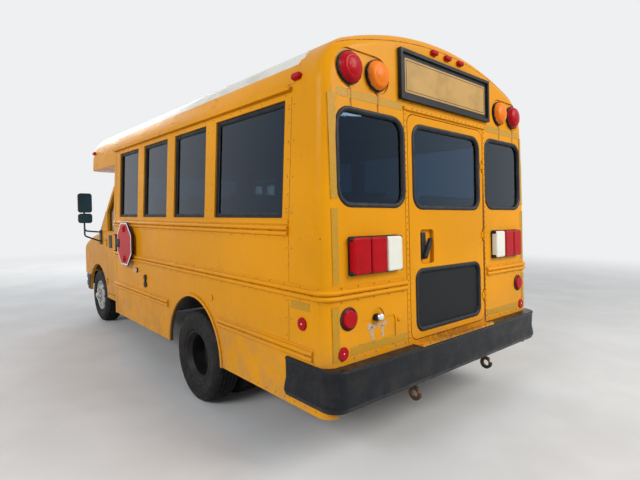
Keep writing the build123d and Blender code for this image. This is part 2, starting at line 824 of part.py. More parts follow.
# Lamps on the rear face and the front cap
lamp_ring = 12
front_lamp_z = 2385
id_lamp_z = 2622
front_id_z = 2545
lens_r = lamp_r - lamp_ring
lamp_back = 8
tail_width = (tail_x[1] - tail_x[0]) / 3
tail_middle_z = sum(tail_z) / 2
tail_size = (tail_width - 4, tail_z[1] - tail_z[0] - 6, 16)
marker_angle = radians(14.4)
marker_ys = (rear_y - 262, cap_y + 190)
front_lamp_xs = (red_lamp_x - 60, amber_lamp_x - 60)
both = (-1, 1)
with BuildPart() as red_lamps:
    warning_plane = rear_plane(lamp_recess - seat_gap - lamp_back)
    add(lenses(warning_plane, rear_places([(s * red_lamp_x, lamp_z) for s in both]), -1, 44, 26, radius=lens_r))
    # Tail lamps, two a side
    tail_plane = rear_plane(-(seat_gap + lamp_back))
    tail_cells = [(s * (tail_x[0] + (cell + 0.5) * tail_width), tail_middle_z) for s in both for cell in (1, 2)]
    add(lenses(tail_plane, rear_places(tail_cells), -1, 42, 14, size=tail_size))
    # Stop lamps and reflectors
    stop_places = rear_places([(s * stop_lamp_x, stop_lamp_z) for s in both])
    add(lenses(rear_plane(-(seat_gap + 4)), stop_places, -1, 18, 8, radius=51))
    reflector_places = rear_places([(s * reflector_x, reflector_z) for s in both])
    add(lenses(rear_plane(-seat_gap), reflector_places, -1, 10, 5, radius=38))
    for side in both:
        side_skin = Plane.YZ.offset(side * (half_width + seat_gap))
        add(lenses(side_skin, [(rear_y - 175, 904)], side, 10, 5, radius=38))
    # Three identification lamps above the sign
    id_places = rear_places([(x, id_lamp_z) for x in (-160, 0, 160)])
    add(lenses(rear_plane(-seat_gap), id_places, -1, 28, 12, size=(66, 34, 14)))
    # Marker lamps at the corners of the roof
    on_cove, _, _ = outline_points(-seat_gap)
    marker_x, marker_z = on_cove(marker_angle)
    for side in both:
        for y in marker_ys:
            skin = Plane(
                origin=(side * marker_x, y, marker_z),
                x_dir=(0, 1, 0),
                z_dir=(side * cos(marker_angle), 0, sin(marker_angle)),
            )
            add(lenses(skin, [(0, 0)], 1, 28, 10, size=(76, 38, 16)))
    front_plane = Plane.XZ.offset(-(cap_y - seat_gap - lamp_back))
    add(lenses(front_plane, [(s * front_lamp_xs[0], front_lamp_z) for s in both], 1, 44, 26, radius=lens_r))
red_lamps.part.label = "red_lamps"
export_step(red_lamps.part, "parts/red_lamps.step")

# Reversing lamps, headlamps and the amber lamps beside them
head_x = (650, 890)
head_z = (750, 940)
corner_lamp_back = nose_front_y + 170
lens_thick = 28


def front_lenses(inner_x, outer_x):
    """Lenses cut from the nose surface on both sides."""
    low = (inner_x, nose_front_y - 1, head_z[0])
    high = (outer_x, corner_lamp_back, head_z[1])
    lens = nose_skin(lens_thick, low, high)
    return lens, lens.mirror(Plane.YZ)


head_lenses = front_lenses(head_x[0], head_x[1])
corner_lenses = front_lenses(head_x[1] + seat_gap, cab_half + 1)
with BuildPart() as amber_lamps:
    add(lenses(warning_plane, rear_places([(s * amber_lamp_x, lamp_z) for s in both]), -1, 44, 26, radius=lens_r))
    add(lenses(front_plane, [(s * front_lamp_xs[1], front_lamp_z) for s in both], 1, 44, 26, radius=lens_r))
    # Three identification lamps over the front sign
    front_skin = Plane.XZ.offset(-(cap_y - seat_gap))
    add(lenses(front_skin, [(x, front_id_z) for x in (-160, 0, 160)], 1, 28, 12, size=(66, 34, 14)))
    add(corner_lenses)
amber_lamps.part.label = "amber_lamps"
export_step(amber_lamps.part, "parts/amber_lamps.step")

with BuildPart() as clear_lamps:
    reversing = rear_places([(s * (tail_x[0] + tail_width / 2), tail_middle_z) for s in both])
    add(lenses(tail_plane, reversing, -1, 40, 14, size=tail_size))
    add(head_lenses)
clear_lamps.part.label = "clear_lamps"
export_step(clear_lamps.part, "parts/clear_lamps.step")

# Outside hinges of the driver's door
driver_hinge = (cab_half + 4, door_front_y - part_gap / 2)
driver_hinge_z = (620, 1150)


def hinge_lugs(place, middle):
    """Two lugs and the pin of a hinge, about an upright axis through place."""
    with BuildPart(mode=Mode.PRIVATE) as lugs:
        for low in (middle - hinge_barrel / 2 - 1 - hinge_lug, middle + hinge_barrel / 2 + 1):
            with BuildSketch(Plane.XY.offset(low)):
                with Locations(place):
                    Circle(hinge_r)
            extrude(amount=hinge_lug)
        with BuildSketch(Plane.XY.offset(middle - hinge_barrel / 2 - 2)):
            with Locations(place):
                Circle(door_pin_r)
        extrude(amount=hinge_barrel + 4)
    return lugs.part


def hinge_knuckle(place, middle):
    """Bored barrel between the lugs of a hinge."""
    with BuildPart(mode=Mode.PRIVATE) as barrel:
        with BuildSketch(Plane.XY.offset(middle - hinge_barrel / 2)):
            with Locations(place):
                Circle(hinge_r)
                Circle(door_pin_r + fit_gap, mode=Mode.SUBTRACT)
        extrude(amount=hinge_barrel)
    return barrel.part


def hinge_notch(place, middle, height):
    """Clearance round a barrel or its lugs in the panel that doesn't carry them."""
    with BuildPart(mode=Mode.PRIVATE) as notch:
        with BuildSketch(Plane.XY.offset(middle - height / 2)):
            with Locations(place):
                Circle(hinge_clear)
        extrude(amount=height)
    return notch.part


# Cab: nose, firewall, pillars, sills and the panel that joins it to the body
fender_arch_r = 432
fender_low_z = 400
fender_front_y = nose_y + 340
hood_skin = 22
hood_half = cab_half - shoulder_r - part_gap
hood_low_z = 1010
hood_back_y = cowl_y - 60
cowl_slot = 46
hood_hinge = (0, hood_back_y + 6, hood_line(hood_back_y, hood_skin) - 21)
hinge_x = 600
hinge_pin_r = 6
grille_size = (1220, 220, 30)
grille_z = 830

# Windshield pillars: middle of the foot and of the head, width and length there
pillar_foot = (899, cowl_y + 40, 1280)
pillar_head = (869, cowl_y + 980, soffit_z)
pillar_foot_size = (70, 110)
pillar_head_size = (130, 110)
pillar_slope = (pillar_head[2] - pillar_foot[2]) / (pillar_head[1] - pillar_foot[1])
pillar_x = cab_half - cab_skin - 26
sail_low_z = hood_points[2][1] - shoulder_r
sail_bend_y = nose_back_y + 60
door_top_z = 1895
header_z = door_top_z + 10


def pillar_z(y):
    """Height of the middle line of the windshield pillars at y."""
    return pillar_foot[2] + (y - pillar_foot[1]) * pillar_slope


def pillar_y(z):
    return pillar_foot[1] + (z - pillar_foot[2]) / pillar_slope


def arch_outline():
    """Front wheel arch with everything below it, in y and z."""
    with BuildSketch(mode=Mode.PRIVATE) as outline:
        with Locations((front_axle_y, axle_z + 20)):
            Circle(fender_arch_r)
        with Locations((front_axle_y, axle_z - 330)):
            Rectangle(2 * fender_arch_r, 700)
    return outline.sketch


nose = nose_block(0, fender_low_z, nose_back_y)
nose -= span_box((-cab_half - 1, nose_front_y - 1, fender_low_z - 1), (cab_half + 1, fender_front_y, nose_low_z))
nose -= nose_block(cab_skin, fender_low_z - 10, nose_back_y + 10)
nose -= span_box(
    (-hood_half - part_gap, nose_front_y - 1, hood_low_z - part_gap),
    (hood_half + part_gap, hood_back_y + cowl_slot, hood_points[2][1] + 50),
)
nose -= extrude(
    Plane.XZ.offset(-(nose_front_y + cab_skin + 1)) * Pos(0, grille_z) * RectangleRounded(*grille_size),
    amount=cab_skin + 2,
)
for side in both:
    nose -= extrude(Plane.YZ.offset(side * (cab_half - cab_skin - 1)) * arch_outline(), amount=side * (cab_skin + 2))
    edge_low, edge_high = sorted((side * (head_x[0] - seat_gap), side * (cab_half + 1)))
    nose -= span_box(
        (edge_low, nose_front_y - 1, head_z[0] - seat_gap),
        (edge_high, corner_lamp_back + seat_gap, head_z[1] + seat_gap),
    )

with BuildPart() as cab_shell:
    add(nose)
    for side in both:
        back = door_front_y - part_gap if side > 0 else entry_front_y - seat_gap
        sail = [
            (nose_back_y, sail_low_z),
            (sail_bend_y, pillar_z(sail_bend_y) - 10),
            (back, pillar_z(back)),
        ]
        with BuildSketch(Plane.YZ.offset(side * (cab_half - cab_skin))):
            with BuildLine():
                Polyline(*sail, (back, fender_low_z), (nose_back_y, fender_low_z), close=True)
            make_face()
            add(arch_outline(), mode=Mode.SUBTRACT)
        extrude(amount=side * cab_skin)
        # Inner part of the panel between the fender and the pillar
        with BuildSketch(Plane.YZ.offset(side * (pillar_x - 4))):
            with BuildLine():
                Polyline(*sail, (back, sail_low_z), close=True)
            make_face()
        extrude(amount=side * (cab_half - cab_skin - pillar_x + 5))
    # Firewall and the shelf under the windshield
    with BuildSketch(Plane.XZ.offset(-firewall_y)):
        with Locations((0, (cowl_z - 4 + 690) / 2)):
            Rectangle(2 * (cab_half - cab_skin), cowl_z - 4 - 690)
    extrude(amount=-25)
    with BuildSketch(Plane.XY.offset(cowl_z - 26)):
        with Locations((0, (nose_back_y - 14 + firewall_y + 25) / 2)):
            Rectangle(2 * (cab_half - cab_skin), firewall_y + 25 - nose_back_y + 14)
    extrude(amount=22)
    with BuildSketch(Plane.XZ.offset(-(nose_back_y - 14))):
        with Locations((0, cowl_z)):
            Rectangle(2 * (cab_half - 2 * cab_skin), 52)
    extrude(amount=-14)
    # Hood hinges: two lugs and a pin on each side
    for side in both:
        for lug in (-1, 1):
            with BuildSketch(Plane.YZ.offset(side * hinge_x + lug * 16 - 4)):
                with BuildLine():
                    Polyline(
                        (hood_hinge[1], hood_hinge[2] - 11),
                        (hood_hinge[1], hood_hinge[2] + 11),
                        (hood_hinge[1] + 32, hood_hinge[2] + 11),
                        (hood_hinge[1] + 50, hood_hinge[2] + 30),
                        (nose_back_y - 20, hood_hinge[2] + 30),
                        (nose_back_y - 20, hood_hinge[2]),
                        close=True,
                    )
                make_face()
                with Locations((hood_hinge[1], hood_hinge[2])):
                    Circle(12)
            extrude(amount=8)
        with BuildSketch(Plane.YZ.offset(side * hinge_x - 18)):
            with Locations((hood_hinge[1], hood_hinge[2])):
                Circle(hinge_pin_r)
        extrude(amount=36)
    # Windshield pillars
    for side in both:
        with BuildPart(mode=Mode.PRIVATE) as pillar:
            with BuildSketch(Plane.XY.offset(pillar_foot[2])):
                with Locations((side * pillar_foot[0], pillar_foot[1])):
                    Rectangle(*pillar_foot_size)
            with BuildSketch(Plane.XY.offset(pillar_head[2])):
                with Locations((side * pillar_head[0], pillar_head[1])):
                    Rectangle(*pillar_head_size)
            loft()
        add(pillar.part)
    # Header over the windshield, side header over the door, and the panel above the right pillar
    with BuildSketch(Plane.XY.offset(soffit_z - 70)):
        with Locations((0, pillar_head[1] + 15)):
            Rectangle(2 * (cab_half - 120), 70)
    extrude(amount=70)
    with BuildSketch(Plane.YZ.offset(pillar_x - 6)):
        with BuildLine():
            Polyline(
                (pillar_y(header_z), header_z),
                (pillar_head[1], soffit_z),
                (front_y, soffit_z),
                (front_y, header_z),
                close=True,
            )
        make_face()
    extrude(amount=cab_half - 10 - pillar_x + 6)
    with BuildSketch(Plane.YZ.offset(-(pillar_x - 4))):
        with BuildLine():
            Polyline(
                (entry_front_y - 30, pillar_z(entry_front_y - 30)),
                (entry_front_y - 30, soffit_z),
                (pillar_head[1], soffit_z),
                close=True,
            )
        make_face()
    extrude(amount=-(cab_half - cab_skin - pillar_x + 4))
    # Rocker under the driver's door
    with BuildSketch(Plane.YZ.offset(cab_half - 90)):
        with Locations(((door_front_y + front_y) / 2, 430)):
            Rectangle(front_y - door_front_y + 12, 60)
    extrude(amount=90)
    # Joining panel between cab and body, left
    with BuildSketch(Plane.XZ.offset(-front_y)):
        with BuildLine():
            Polyline(
                (cab_half - 110, 400),
                (half_width - 1, 400),
                (half_width - 1, belt_z),
                (shoulder_x - 1, soffit_z),
                (cab_half - 110, soffit_z),
                close=True,
            )
        make_face()
    extrude(amount=30)
    # Closing panel ahead of the entry, right
    with BuildSketch(Plane.XY.offset(400)):
        with BuildLine():
            Polyline(
                (-(pillar_x - 9), entry_front_y - 30),
                (-half_width, entry_front_y - 30),
                (-half_width, entry_front_y - seat_gap),
                (-(pillar_x - 9), entry_front_y - seat_gap),
                close=True,
            )
        make_face()
    extrude(amount=soffit_z - 400)
    for z in driver_hinge_z:
        add(hinge_notch(driver_hinge, z, hinge_barrel + 2), mode=Mode.SUBTRACT)
        add(hinge_lugs(driver_hinge, z))
cab_shell.part.label = "cab_shell"
export_step(cab_shell.part, "parts/cab_shell.step")

with BuildPart() as grille:
    with BuildSketch(Plane.XZ.offset(-(nose_front_y + 26))):
        with Locations((0, grille_z)):
            RectangleRounded(grille_size[0] - 2 * seat_gap, grille_size[1] - 2 * seat_gap, grille_size[2])
            Rectangle(grille_size[0] - 60, grille_size[1] - 60, mode=Mode.SUBTRACT)
        with GridLocations(60, 0, 19, 1):
            with Locations((0, grille_z)):
                Rectangle(10, grille_size[1] - 58)
        with Locations((0, grille_z)):
            Rectangle(grille_size[0] - 58, 34)
    extrude(amount=36)
grille.part.label = "grille"
export_step(grille.part, "parts/grille.step")

# Hood, hinged at the cowl
hood_panel = nose_skin(
    hood_skin,
    (-hood_half, nose_front_y - 1, hood_low_z),
    (hood_half, hood_back_y, hood_points[2][1] + 50),
)
with BuildPart() as hood:
    add(hood_panel)
    # Hinge arms under the rear edge
    for side in both:
        with BuildSketch(Plane.YZ.offset(side * hinge_x - 8)):
            with BuildLine():
                Polyline(
                    (hood_hinge[1] - 70, hood_line(hood_hinge[1] - 70, hood_skin / 2)),
                    (hood_hinge[1] - 12, hood_line(hood_hinge[1] - 12, hood_skin / 2)),
                    (hood_hinge[1], hood_hinge[2]),
                    (hood_hinge[1] - 8, hood_hinge[2] - 12),
                    close=True,
                )
            make_face()
            with Locations((hood_hinge[1], hood_hinge[2])):
                Circle(14)
                Circle(hinge_pin_r + fit_gap, mode=Mode.SUBTRACT)
        extrude(amount=16)
hood.part.label = "hood"
export_step(hood.part, "parts/hood.step")

# Driver's door
door_frame = 76
door_handle = (door_back_y - 150, 1150)
door_sill_z = cowl_z + 50
door_glass_top = door_top_z - 50


def door_line(y, back=0):
    """Height of the slanting front edge of the door at y, or of a line further back."""
    return pillar_z(y - back) - 10


def door_line_y(z, back=0):
    return pillar_y(z + 10) + back


def door_opening(gap):
    """Window of the door in y and z, drawn inward by gap."""
    front = door_front_y + 60 + gap
    top = door_glass_top - gap
    with BuildSketch(mode=Mode.PRIVATE) as outline:
        with BuildLine():
            Polyline(
                (front, door_sill_z + gap),
                (front, door_line(front, door_frame + 2 * gap)),
                (door_line_y(top, door_frame + 2 * gap), top),
                (door_back_y - 60 - gap, top),
                (door_back_y - 60 - gap, door_sill_z + gap),
                close=True,
            )
        make_face()
    return outline.sketch


with BuildPart() as driver_door:
    with BuildSketch(Plane.YZ.offset(cab_half - 60)):
        with BuildLine():
            Polyline(
                (door_front_y, rocker_z),
                (door_front_y, door_line(door_front_y)),
                (door_line_y(door_top_z), door_top_z),
                (door_back_y, door_top_z),
                (door_back_y, rocker_z),
                close=True,
            )
        make_face()
        add(door_opening(0), mode=Mode.SUBTRACT)
    extrude(amount=60)
    for z in driver_hinge_z:
        add(hinge_notch(driver_hinge, z, hinge_barrel + 2 * hinge_lug + 14), mode=Mode.SUBTRACT)
        with BuildSketch(Plane.XY.offset(z - hinge_barrel / 2)):
            with Locations((driver_hinge[0] - 4, driver_hinge[1] + 14)):
                Rectangle(10, 28)
            with Locations(driver_hinge):
                Circle(hinge_r - 1, mode=Mode.SUBTRACT)
        extrude(amount=hinge_barrel)
        add(hinge_knuckle(driver_hinge, z))
    # Pull handle over its pocket
    with BuildSketch(Plane.YZ.offset(cab_half - 14)):
        with Locations(door_handle):
            RectangleRounded(150, 74, 24)
    extrude(amount=15, mode=Mode.SUBTRACT)
    with BuildSketch(Plane.YZ.offset(cab_half - 9)):
        with Locations(door_handle):
            RectangleRounded(186, 26, 10)
    extrude(amount=17)
driver_door.part.label = "driver_door"
export_step(driver_door.part, "parts/driver_door.step")

with BuildPart() as driver_glass:
    with BuildSketch(Plane.YZ.offset(cab_half - 36)):
        add(door_opening(seat_gap + 0.1))
    extrude(amount=glass_thick)
driver_glass.part.label = "driver_glass"
export_step(driver_glass.part, "parts/driver_glass.step")

# Entry door: two leaves that open outward
leaf_low = entry_low_z + part_gap
leaf_high = entry_high_z - part_gap
entry_middle = (entry_door_front + entry_door_back) / 2
leaf_x = -(half_width - leaf_thick)


def build_leaf(name, glass_name, low_y, high_y, pivot_y):
    middle_y = (low_y + high_y) / 2
    with BuildPart() as leaf:
        with BuildSketch(Plane.YZ.offset(leaf_x)):
            with Locations(((low_y + high_y) / 2, (leaf_low + leaf_high) / 2)):
                Rectangle(high_y - low_y, leaf_high - leaf_low)
            with Locations(((low_y + high_y) / 2, (leaf_low + leaf_high) / 2 + 330)):
                RectangleRounded(high_y - low_y - 110, 820, 30, mode=Mode.SUBTRACT)
            with Locations(((low_y + high_y) / 2, (leaf_low + leaf_high) / 2 - 440)):
                RectangleRounded(high_y - low_y - 110, 560, 30, mode=Mode.SUBTRACT)
        extrude(amount=-leaf_thick)
        # The hinged edge is round about the pivots
        hinged = leaf.edges().filter_by(Axis.Z).filter_by(lambda edge: edge.length > 1000)
        fillet(hinged.group_by(Axis.Y)[0 if pivot_y < middle_y else -1], leaf_thick / 2 - 0.1)
        for low in (leaf_low - part_gap - pivot_depth + 2, leaf_high - 1):
            with BuildSketch(Plane.XY.offset(low)):
                with Locations((pivot_x, pivot_y)):
                    Circle(pivot_r)
            extrude(amount=part_gap + pivot_depth - 1)
    leaf.part.label = name
    export_step(leaf.part, "parts/" + name + ".step")
    with BuildPart() as pane:
        with BuildSketch(Plane.YZ.offset(leaf_x - 14)):
            with Locations(((low_y + high_y) / 2, (leaf_low + leaf_high) / 2 + 330)):
                RectangleRounded(high_y - low_y - 110.6, 819.4, 30)
            with Locations(((low_y + high_y) / 2, (leaf_low + leaf_high) / 2 - 440)):
                RectangleRounded(high_y - low_y - 110.6, 559.4, 30)
        extrude(amount=-glass_thick)
    pane.part.label = glass_name
    export_step(pane.part, "parts/" + glass_name + ".step")


build_leaf(
    "entry_leaf_front",
    "entry_glass_front",
    entry_door_front + part_gap,
    entry_middle - leaf_gap / 2,
    pivot_ys[0],
)
build_leaf(
    "entry_leaf_rear",
    "entry_glass_rear",
    entry_middle + leaf_gap / 2,
    entry_door_back - part_gap,
    pivot_ys[1],
)

# Rear emergency door, hinged on the right edge
door_window = (405, 1575, 2104)
door_panel = (393, 768, 1156)
with BuildPart() as rear_door:
    with BuildSketch(rear_plane(0)):
        with Locations((0, on_rear((door_low_z + door_high_z) / 2))):
            RectangleRounded(2 * door_half, on_rear(door_high_z) - on_rear(door_low_z), door_corner_r)
        half, low, high = door_window
        with Locations((0, on_rear((low + high) / 2))):
            RectangleRounded(2 * half, on_rear(high) - on_rear(low), 80, mode=Mode.SUBTRACT)
        half, low, high = door_panel
        with Locations((0, on_rear((low + high) / 2))):
            RectangleRounded(2 * half, on_rear(high) - on_rear(low), 60, mode=Mode.SUBTRACT)
    extrude(amount=wall)
    # Handle pocket
    with BuildSketch(rear_plane(-1)):
        with on_rear_locations([(273, 1313)]):
            RectangleRounded(150, 230, 24)
    extrude(amount=26, mode=Mode.SUBTRACT)
    # Barrels of the hinges
    for z in rear_hinge_z:
        add(rear_hinge_cylinders(z, hinge_clear, [(-lug_end - part_gap, lug_end + part_gap)]), mode=Mode.SUBTRACT)
        with BuildSketch(rear_hinge_plane(z).offset(-barrel_half)):
            with Locations((16, -5)):
                Rectangle(32, 12)
            Circle(hinge_r)
            Circle(door_pin_r + fit_gap, mode=Mode.SUBTRACT)
        extrude(amount=2 * barrel_half)
rear_door.part.label = "rear_door"
export_step(rear_door.part, "parts/rear_door.step")

with BuildPart() as rear_door_glass:
    with BuildSketch(rear_plane(14)):
        for half, low, high, corner in (door_window + (80,), door_panel + (60,)):
            with Locations((0, on_rear((low + high) / 2))):
                RectangleRounded(2 * half - 0.6, on_rear(high) - on_rear(low) - 0.6, corner)
    extrude(amount=glass_thick)
rear_door_glass.part.label = "rear_door_glass"
export_step(rear_door_glass.part, "parts/rear_door_glass.step")

# Stop arm, folded flat against the driver's side
stop_size = 457
stop_centre = (rear_y - 3105, 1222)
stop_thick = 10
stop_x = half_width + 44
stop_hinge_y = stop_centre[0] - stop_size / 2 - 40
with BuildPart() as stop_arm:
    with BuildSketch(Plane.YZ.offset(stop_x)):
        with Locations(stop_centre):
            RegularPolygon(stop_size / 2, 8, major_radius=False, rotation=22.5)
        with Locations((stop_hinge_y + 45, stop_centre[1])):
            Rectangle(90, 120)
    extrude(amount=stop_thick)
    with BuildSketch(Plane.XY.offset(stop_centre[1] - 80)):
        with Locations((stop_x + stop_thick / 2, stop_hinge_y)):
            Circle(14)
    extrude(amount=160)
    with BuildSketch(Plane.XY.offset(stop_centre[1] - 90)):
        with Locations((stop_x + stop_thick / 2, stop_hinge_y)):
            Circle(6.2)
    extrude(amount=180, mode=Mode.SUBTRACT)
stop_arm.part.label = "stop_arm"
export_step(stop_arm.part, "parts/stop_arm.step")

# Black fittings on the skin: lamp backs, rear sign frame and the stop arm mount
sign_half = 545
sign_z = (2250, 2566)
with BuildPart() as body_fittings:
    with BuildSketch(rear_plane(lamp_recess - seat_gap)):
        with on_rear_locations([(s * x, lamp_z) for s in both for x in (red_lamp_x, amber_lamp_x)]):
            Circle(lamp_r)
    extrude(amount=-(lamp_back - seat_gap))
    with BuildSketch(rear_plane(-seat_gap)):
        with on_rear_locations([(s * sum(tail_x) / 2, tail_middle_z) for s in both]):
            RectangleRounded(tail_x[1] - tail_x[0] + 8, tail_z[1] - tail_z[0] + 8, 16)
    extrude(amount=-(lamp_back - seat_gap))
    # Backs of the front warning lamps and the front sign frame
    with BuildSketch(front_skin):
        with Locations(*[(s * x, front_lamp_z) for s in both for x in front_lamp_xs]):
            Circle(lamp_r)
    extrude(amount=lamp_back - seat_gap)
    with BuildSketch(front_skin):
        with Locations((0, front_lamp_z + 10)):
            Rectangle(2 * sign_half - 60, sign_z[1] - sign_z[0] - 60)
    extrude(amount=12)
    with BuildSketch(front_skin.offset(12)):
        with Locations((0, front_lamp_z + 10)):
            Rectangle(2 * sign_half - 60, sign_z[1] - sign_z[0] - 60)
            Rectangle(2 * sign_half - 104, sign_z[1] - sign_z[0] - 104, mode=Mode.SUBTRACT)
    extrude(amount=10)
    # Plate lamp, oval lamp and filler fittings on the left side
    with BuildSketch(rear_plane(plate_recess - seat_gap)):
        with on_rear_locations([(plate_x, plate_lamp_z - 14)]):
            SlotOverall(76, 40)
    extrude(amount=-26)
    with BuildSketch(Plane.YZ.offset(half_width + seat_gap)):
        with Locations((rear_y - 2889, 961)):
            SlotOverall(78, 44)
    extrude(amount=16)
    with BuildSketch(Plane.YZ.offset(half_width + seat_gap)):
        with Locations((rear_y - 2637, 876)):
            with Locations((0, 34), (0, -34)):
                Circle(29)
            Rectangle(26, 80)
    extrude(amount=14)
    with BuildSketch(Plane.YZ.offset(half_width + seat_gap)):
        with Locations((rear_y - 1265, 903)):
            Circle(22)
    extrude(amount=8)
    with BuildSketch(rear_plane(-seat_gap)):
        with on_rear_locations([(stop_lamp_x, stop_lamp_z), (-stop_lamp_x, stop_lamp_z)]):
            Circle(66)
    extrude(amount=-3.7)
    with BuildSketch(rear_plane(-seat_gap)):
        with on_rear_locations([(0, sum(sign_z) / 2)]):
            Rectangle(2 * sign_half, sign_z[1] - sign_z[0])
    extrude(amount=-12)
    with BuildSketch(rear_plane(-seat_gap - 12)):
        with on_rear_locations([(0, sum(sign_z) / 2)]):
            Rectangle(2 * sign_half, sign_z[1] - sign_z[0])
            Rectangle(2 * sign_half - 44, sign_z[1] - sign_z[0] - 44, mode=Mode.SUBTRACT)
    extrude(amount=-16)
    # Stop arm mount: back plate, two lugs and the pin
    with BuildSketch(Plane.XY.offset(stop_centre[1] - 95)):
        with Locations((stop_x + stop_thick / 2, stop_hinge_y)):
            Circle(6)
    extrude(amount=190)
    for z in (stop_centre[1] - 95, stop_centre[1] + 82):
        with BuildSketch(Plane.XY.offset(z)):
            with Locations(((half_width + seat_gap + stop_x + 22) / 2, stop_hinge_y)):
                Rectangle(stop_x + 22 - half_width - seat_gap, 60)
        extrude(amount=13)
    with BuildSketch(Plane.YZ.offset(half_width + seat_gap)):
        with Locations((stop_hinge_y + 20, stop_centre[1])):
            Rectangle(130, 190)
    extrude(amount=16)
body_fittings.part.label = "body_fittings"
export_step(body_fittings.part, "parts/body_fittings.step")

# Mirrors on arms from the cab side
mirror_y = rear_y - 4870
mirror_x = 1205
mirror_base = (mirror_y - 30, 1220)
mirror_heads = ((1690, 262), (1482, 130))
mirror_width = 170
mirror_depth = 60
mirror_tube_r = 11
mirror_tube_y = mirror_y - mirror_depth - 4
with BuildPart() as mirrors:
    for side in both:
        with BuildPart(mode=Mode.PRIVATE) as heads:
            with BuildSketch(Plane.XZ.offset(-mirror_y)):
                for z, height in mirror_heads:
                    with Locations((side * mirror_x, z)):
                        RectangleRounded(mirror_width, height, 34)
            extrude(amount=mirror_depth)
            fillet(heads.faces().filter_by(Axis.Y).group_by(Axis.Y)[0].edges(), 26)
            # Seat of the glass
            with BuildSketch(Plane.XZ.offset(-mirror_y)):
                for z, height in mirror_heads:
                    with Locations((side * mirror_x, z)):
                        RectangleRounded(mirror_width - 16, height - 16, 26)
            extrude(amount=3, mode=Mode.SUBTRACT)
        add(heads.part)
        base_x = side * (cab_half + 10)
        for start_z, bend_z in ((1290, 1310), (1160, 1240)):
            with BuildLine(mode=Mode.PRIVATE) as arm:
                FilletPolyline(
                    (base_x, mirror_base[0], start_z),
                    (side * mirror_x, mirror_tube_y, bend_z),
                    (side * mirror_x, mirror_tube_y, 1790),
                    radius=40,
                )
            with BuildSketch(Plane(origin=arm.line @ 0, z_dir=arm.line % 0)):
                Circle(mirror_tube_r)
            sweep(path=arm.line)
        with BuildSketch(Plane.YZ.offset(side * (cab_half + seat_gap))):
            with Locations(mirror_base):
                RectangleRounded(80, 200, 16)
        extrude(amount=side * 16)
mirrors.part.label = "mirrors"
export_step(mirrors.part, "parts/mirrors.step")

# Propeller shaft line, from the gearbox to the rear axle
gearbox_z = 560
gearbox_length = 700
shaft_r = 45
shaft_path = Edge.make_line(
    (0, front_axle_y + 225 + gearbox_length, gearbox_z), (0, rear_axle_y - 200, axle_z + 25)
)

# Chassis frame: two channel rails, cross members, tow hooks
hitch_y = rear_y - 490
hitch_spacing = (160, 50)
hitch_hole_r = 7
with BuildPart() as frame:
    frame_front = nose_y + front_bumper_depth + seat_gap
    frame_back = rear_y + bumper_reach - 26 - seat_gap
    for side in (-1, 1):
        with BuildSketch(Plane.XZ.offset(-frame_front)):
            with BuildLine():
                x0 = side * rail_half
                x1 = side * (rail_half - 64)
                Polyline(
                    (x0, frame_low_z),
                    (x0, frame_high_z),
                    (x1, frame_high_z),
                    (x1, frame_high_z - 8),
                    (x0 - side * 8, frame_high_z - 8),
                    (x0 - side * 8, frame_low_z + 8),
                    (x1, frame_low_z + 8),
                    (x1, frame_low_z),
                    close=True,
                )
            make_face()
        extrude(amount=-(frame_back - frame_front))
    for y in (frame_front + 190, front_axle_y + 1020, rear_axle_y - 900, rear_axle_y + 690, rear_y - 100):
        with Locations((0, y, (frame_low_z + frame_high_z) / 2)):
            Box(2 * rail_half - 16, 60, 80)
    # Passage for the propeller shaft
    with BuildSketch(Plane(origin=shaft_path @ 0, z_dir=shaft_path % 0)):
        Circle(shaft_r + 25)
    extrude(amount=shaft_path.length, mode=Mode.SUBTRACT)
    # Pads for a jack
    with BuildSketch(Plane.XY.offset(frame_low_z)):
        for side in (-1, 1):
            with Locations((side * (rail_half - jack_pad[0] / 2), jack_y)):
                Rectangle(jack_pad[0], jack_pad[1])
    extrude(amount=-jack_pad[2])
    # Bolt holes for a tow bar, four in the web of each rail
    with BuildSketch(Plane.YZ.offset(-rail_half - 5)):
        with Locations((hitch_y, (frame_low_z + frame_high_z) / 2)):
            with GridLocations(*hitch_spacing, 2, 2):
                Circle(hitch_hole_r)
    extrude(amount=2 * rail_half + 10, mode=Mode.SUBTRACT)
    # Tow hooks under the rear bumper
    for side in (-1, 1):
        with BuildSketch(Plane.YZ.offset(side * 455 - 10)):
            with Locations((rear_y + 55, 372)):
                Circle(46)
                Circle(24, mode=Mode.SUBTRACT)
            with Locations((rear_y + 100, 400)):
                Rectangle(40, 40, mode=Mode.SUBTRACT)
            with Locations((rear_y - 20, 470)):
                Rectangle(110, 150)
        extrude(amount=20)
        with Locations((side * 443, rear_y - 95, 560)):
            Box(22, 140, 78)
frame.part.label = "frame"
export_step(frame.part, "parts/frame.step")


def tyre_profile():
    """Half section of a tyre, drawn against the wheel axis: radius along X, width along Y."""
    half = tyre_width / 2
    with BuildSketch(mode=Mode.PRIVATE) as outline:
        with BuildLine():
            Line((rim_r, -half + 22), (rim_r + 12, -half + 10))
            ThreePointArc((rim_r + 12, -half + 10), (rim_r + 82, -half), (tyre_radius - 26, -half + 16))
            Line((tyre_radius - 26, -half + 16), (tyre_radius, -half + 34))
            Line((tyre_radius, -half + 34), (tyre_radius, half - 34))
            Line((tyre_radius, half - 34), (tyre_radius - 26, half - 16))
            ThreePointArc((tyre_radius - 26, half - 16), (rim_r + 82, half), (rim_r + 12, half - 10))
            Line((rim_r + 12, half - 10), (rim_r, half - 22))
            Line((rim_r, half - 22), (rim_r, -half + 22))
        make_face()
    return outline.sketch


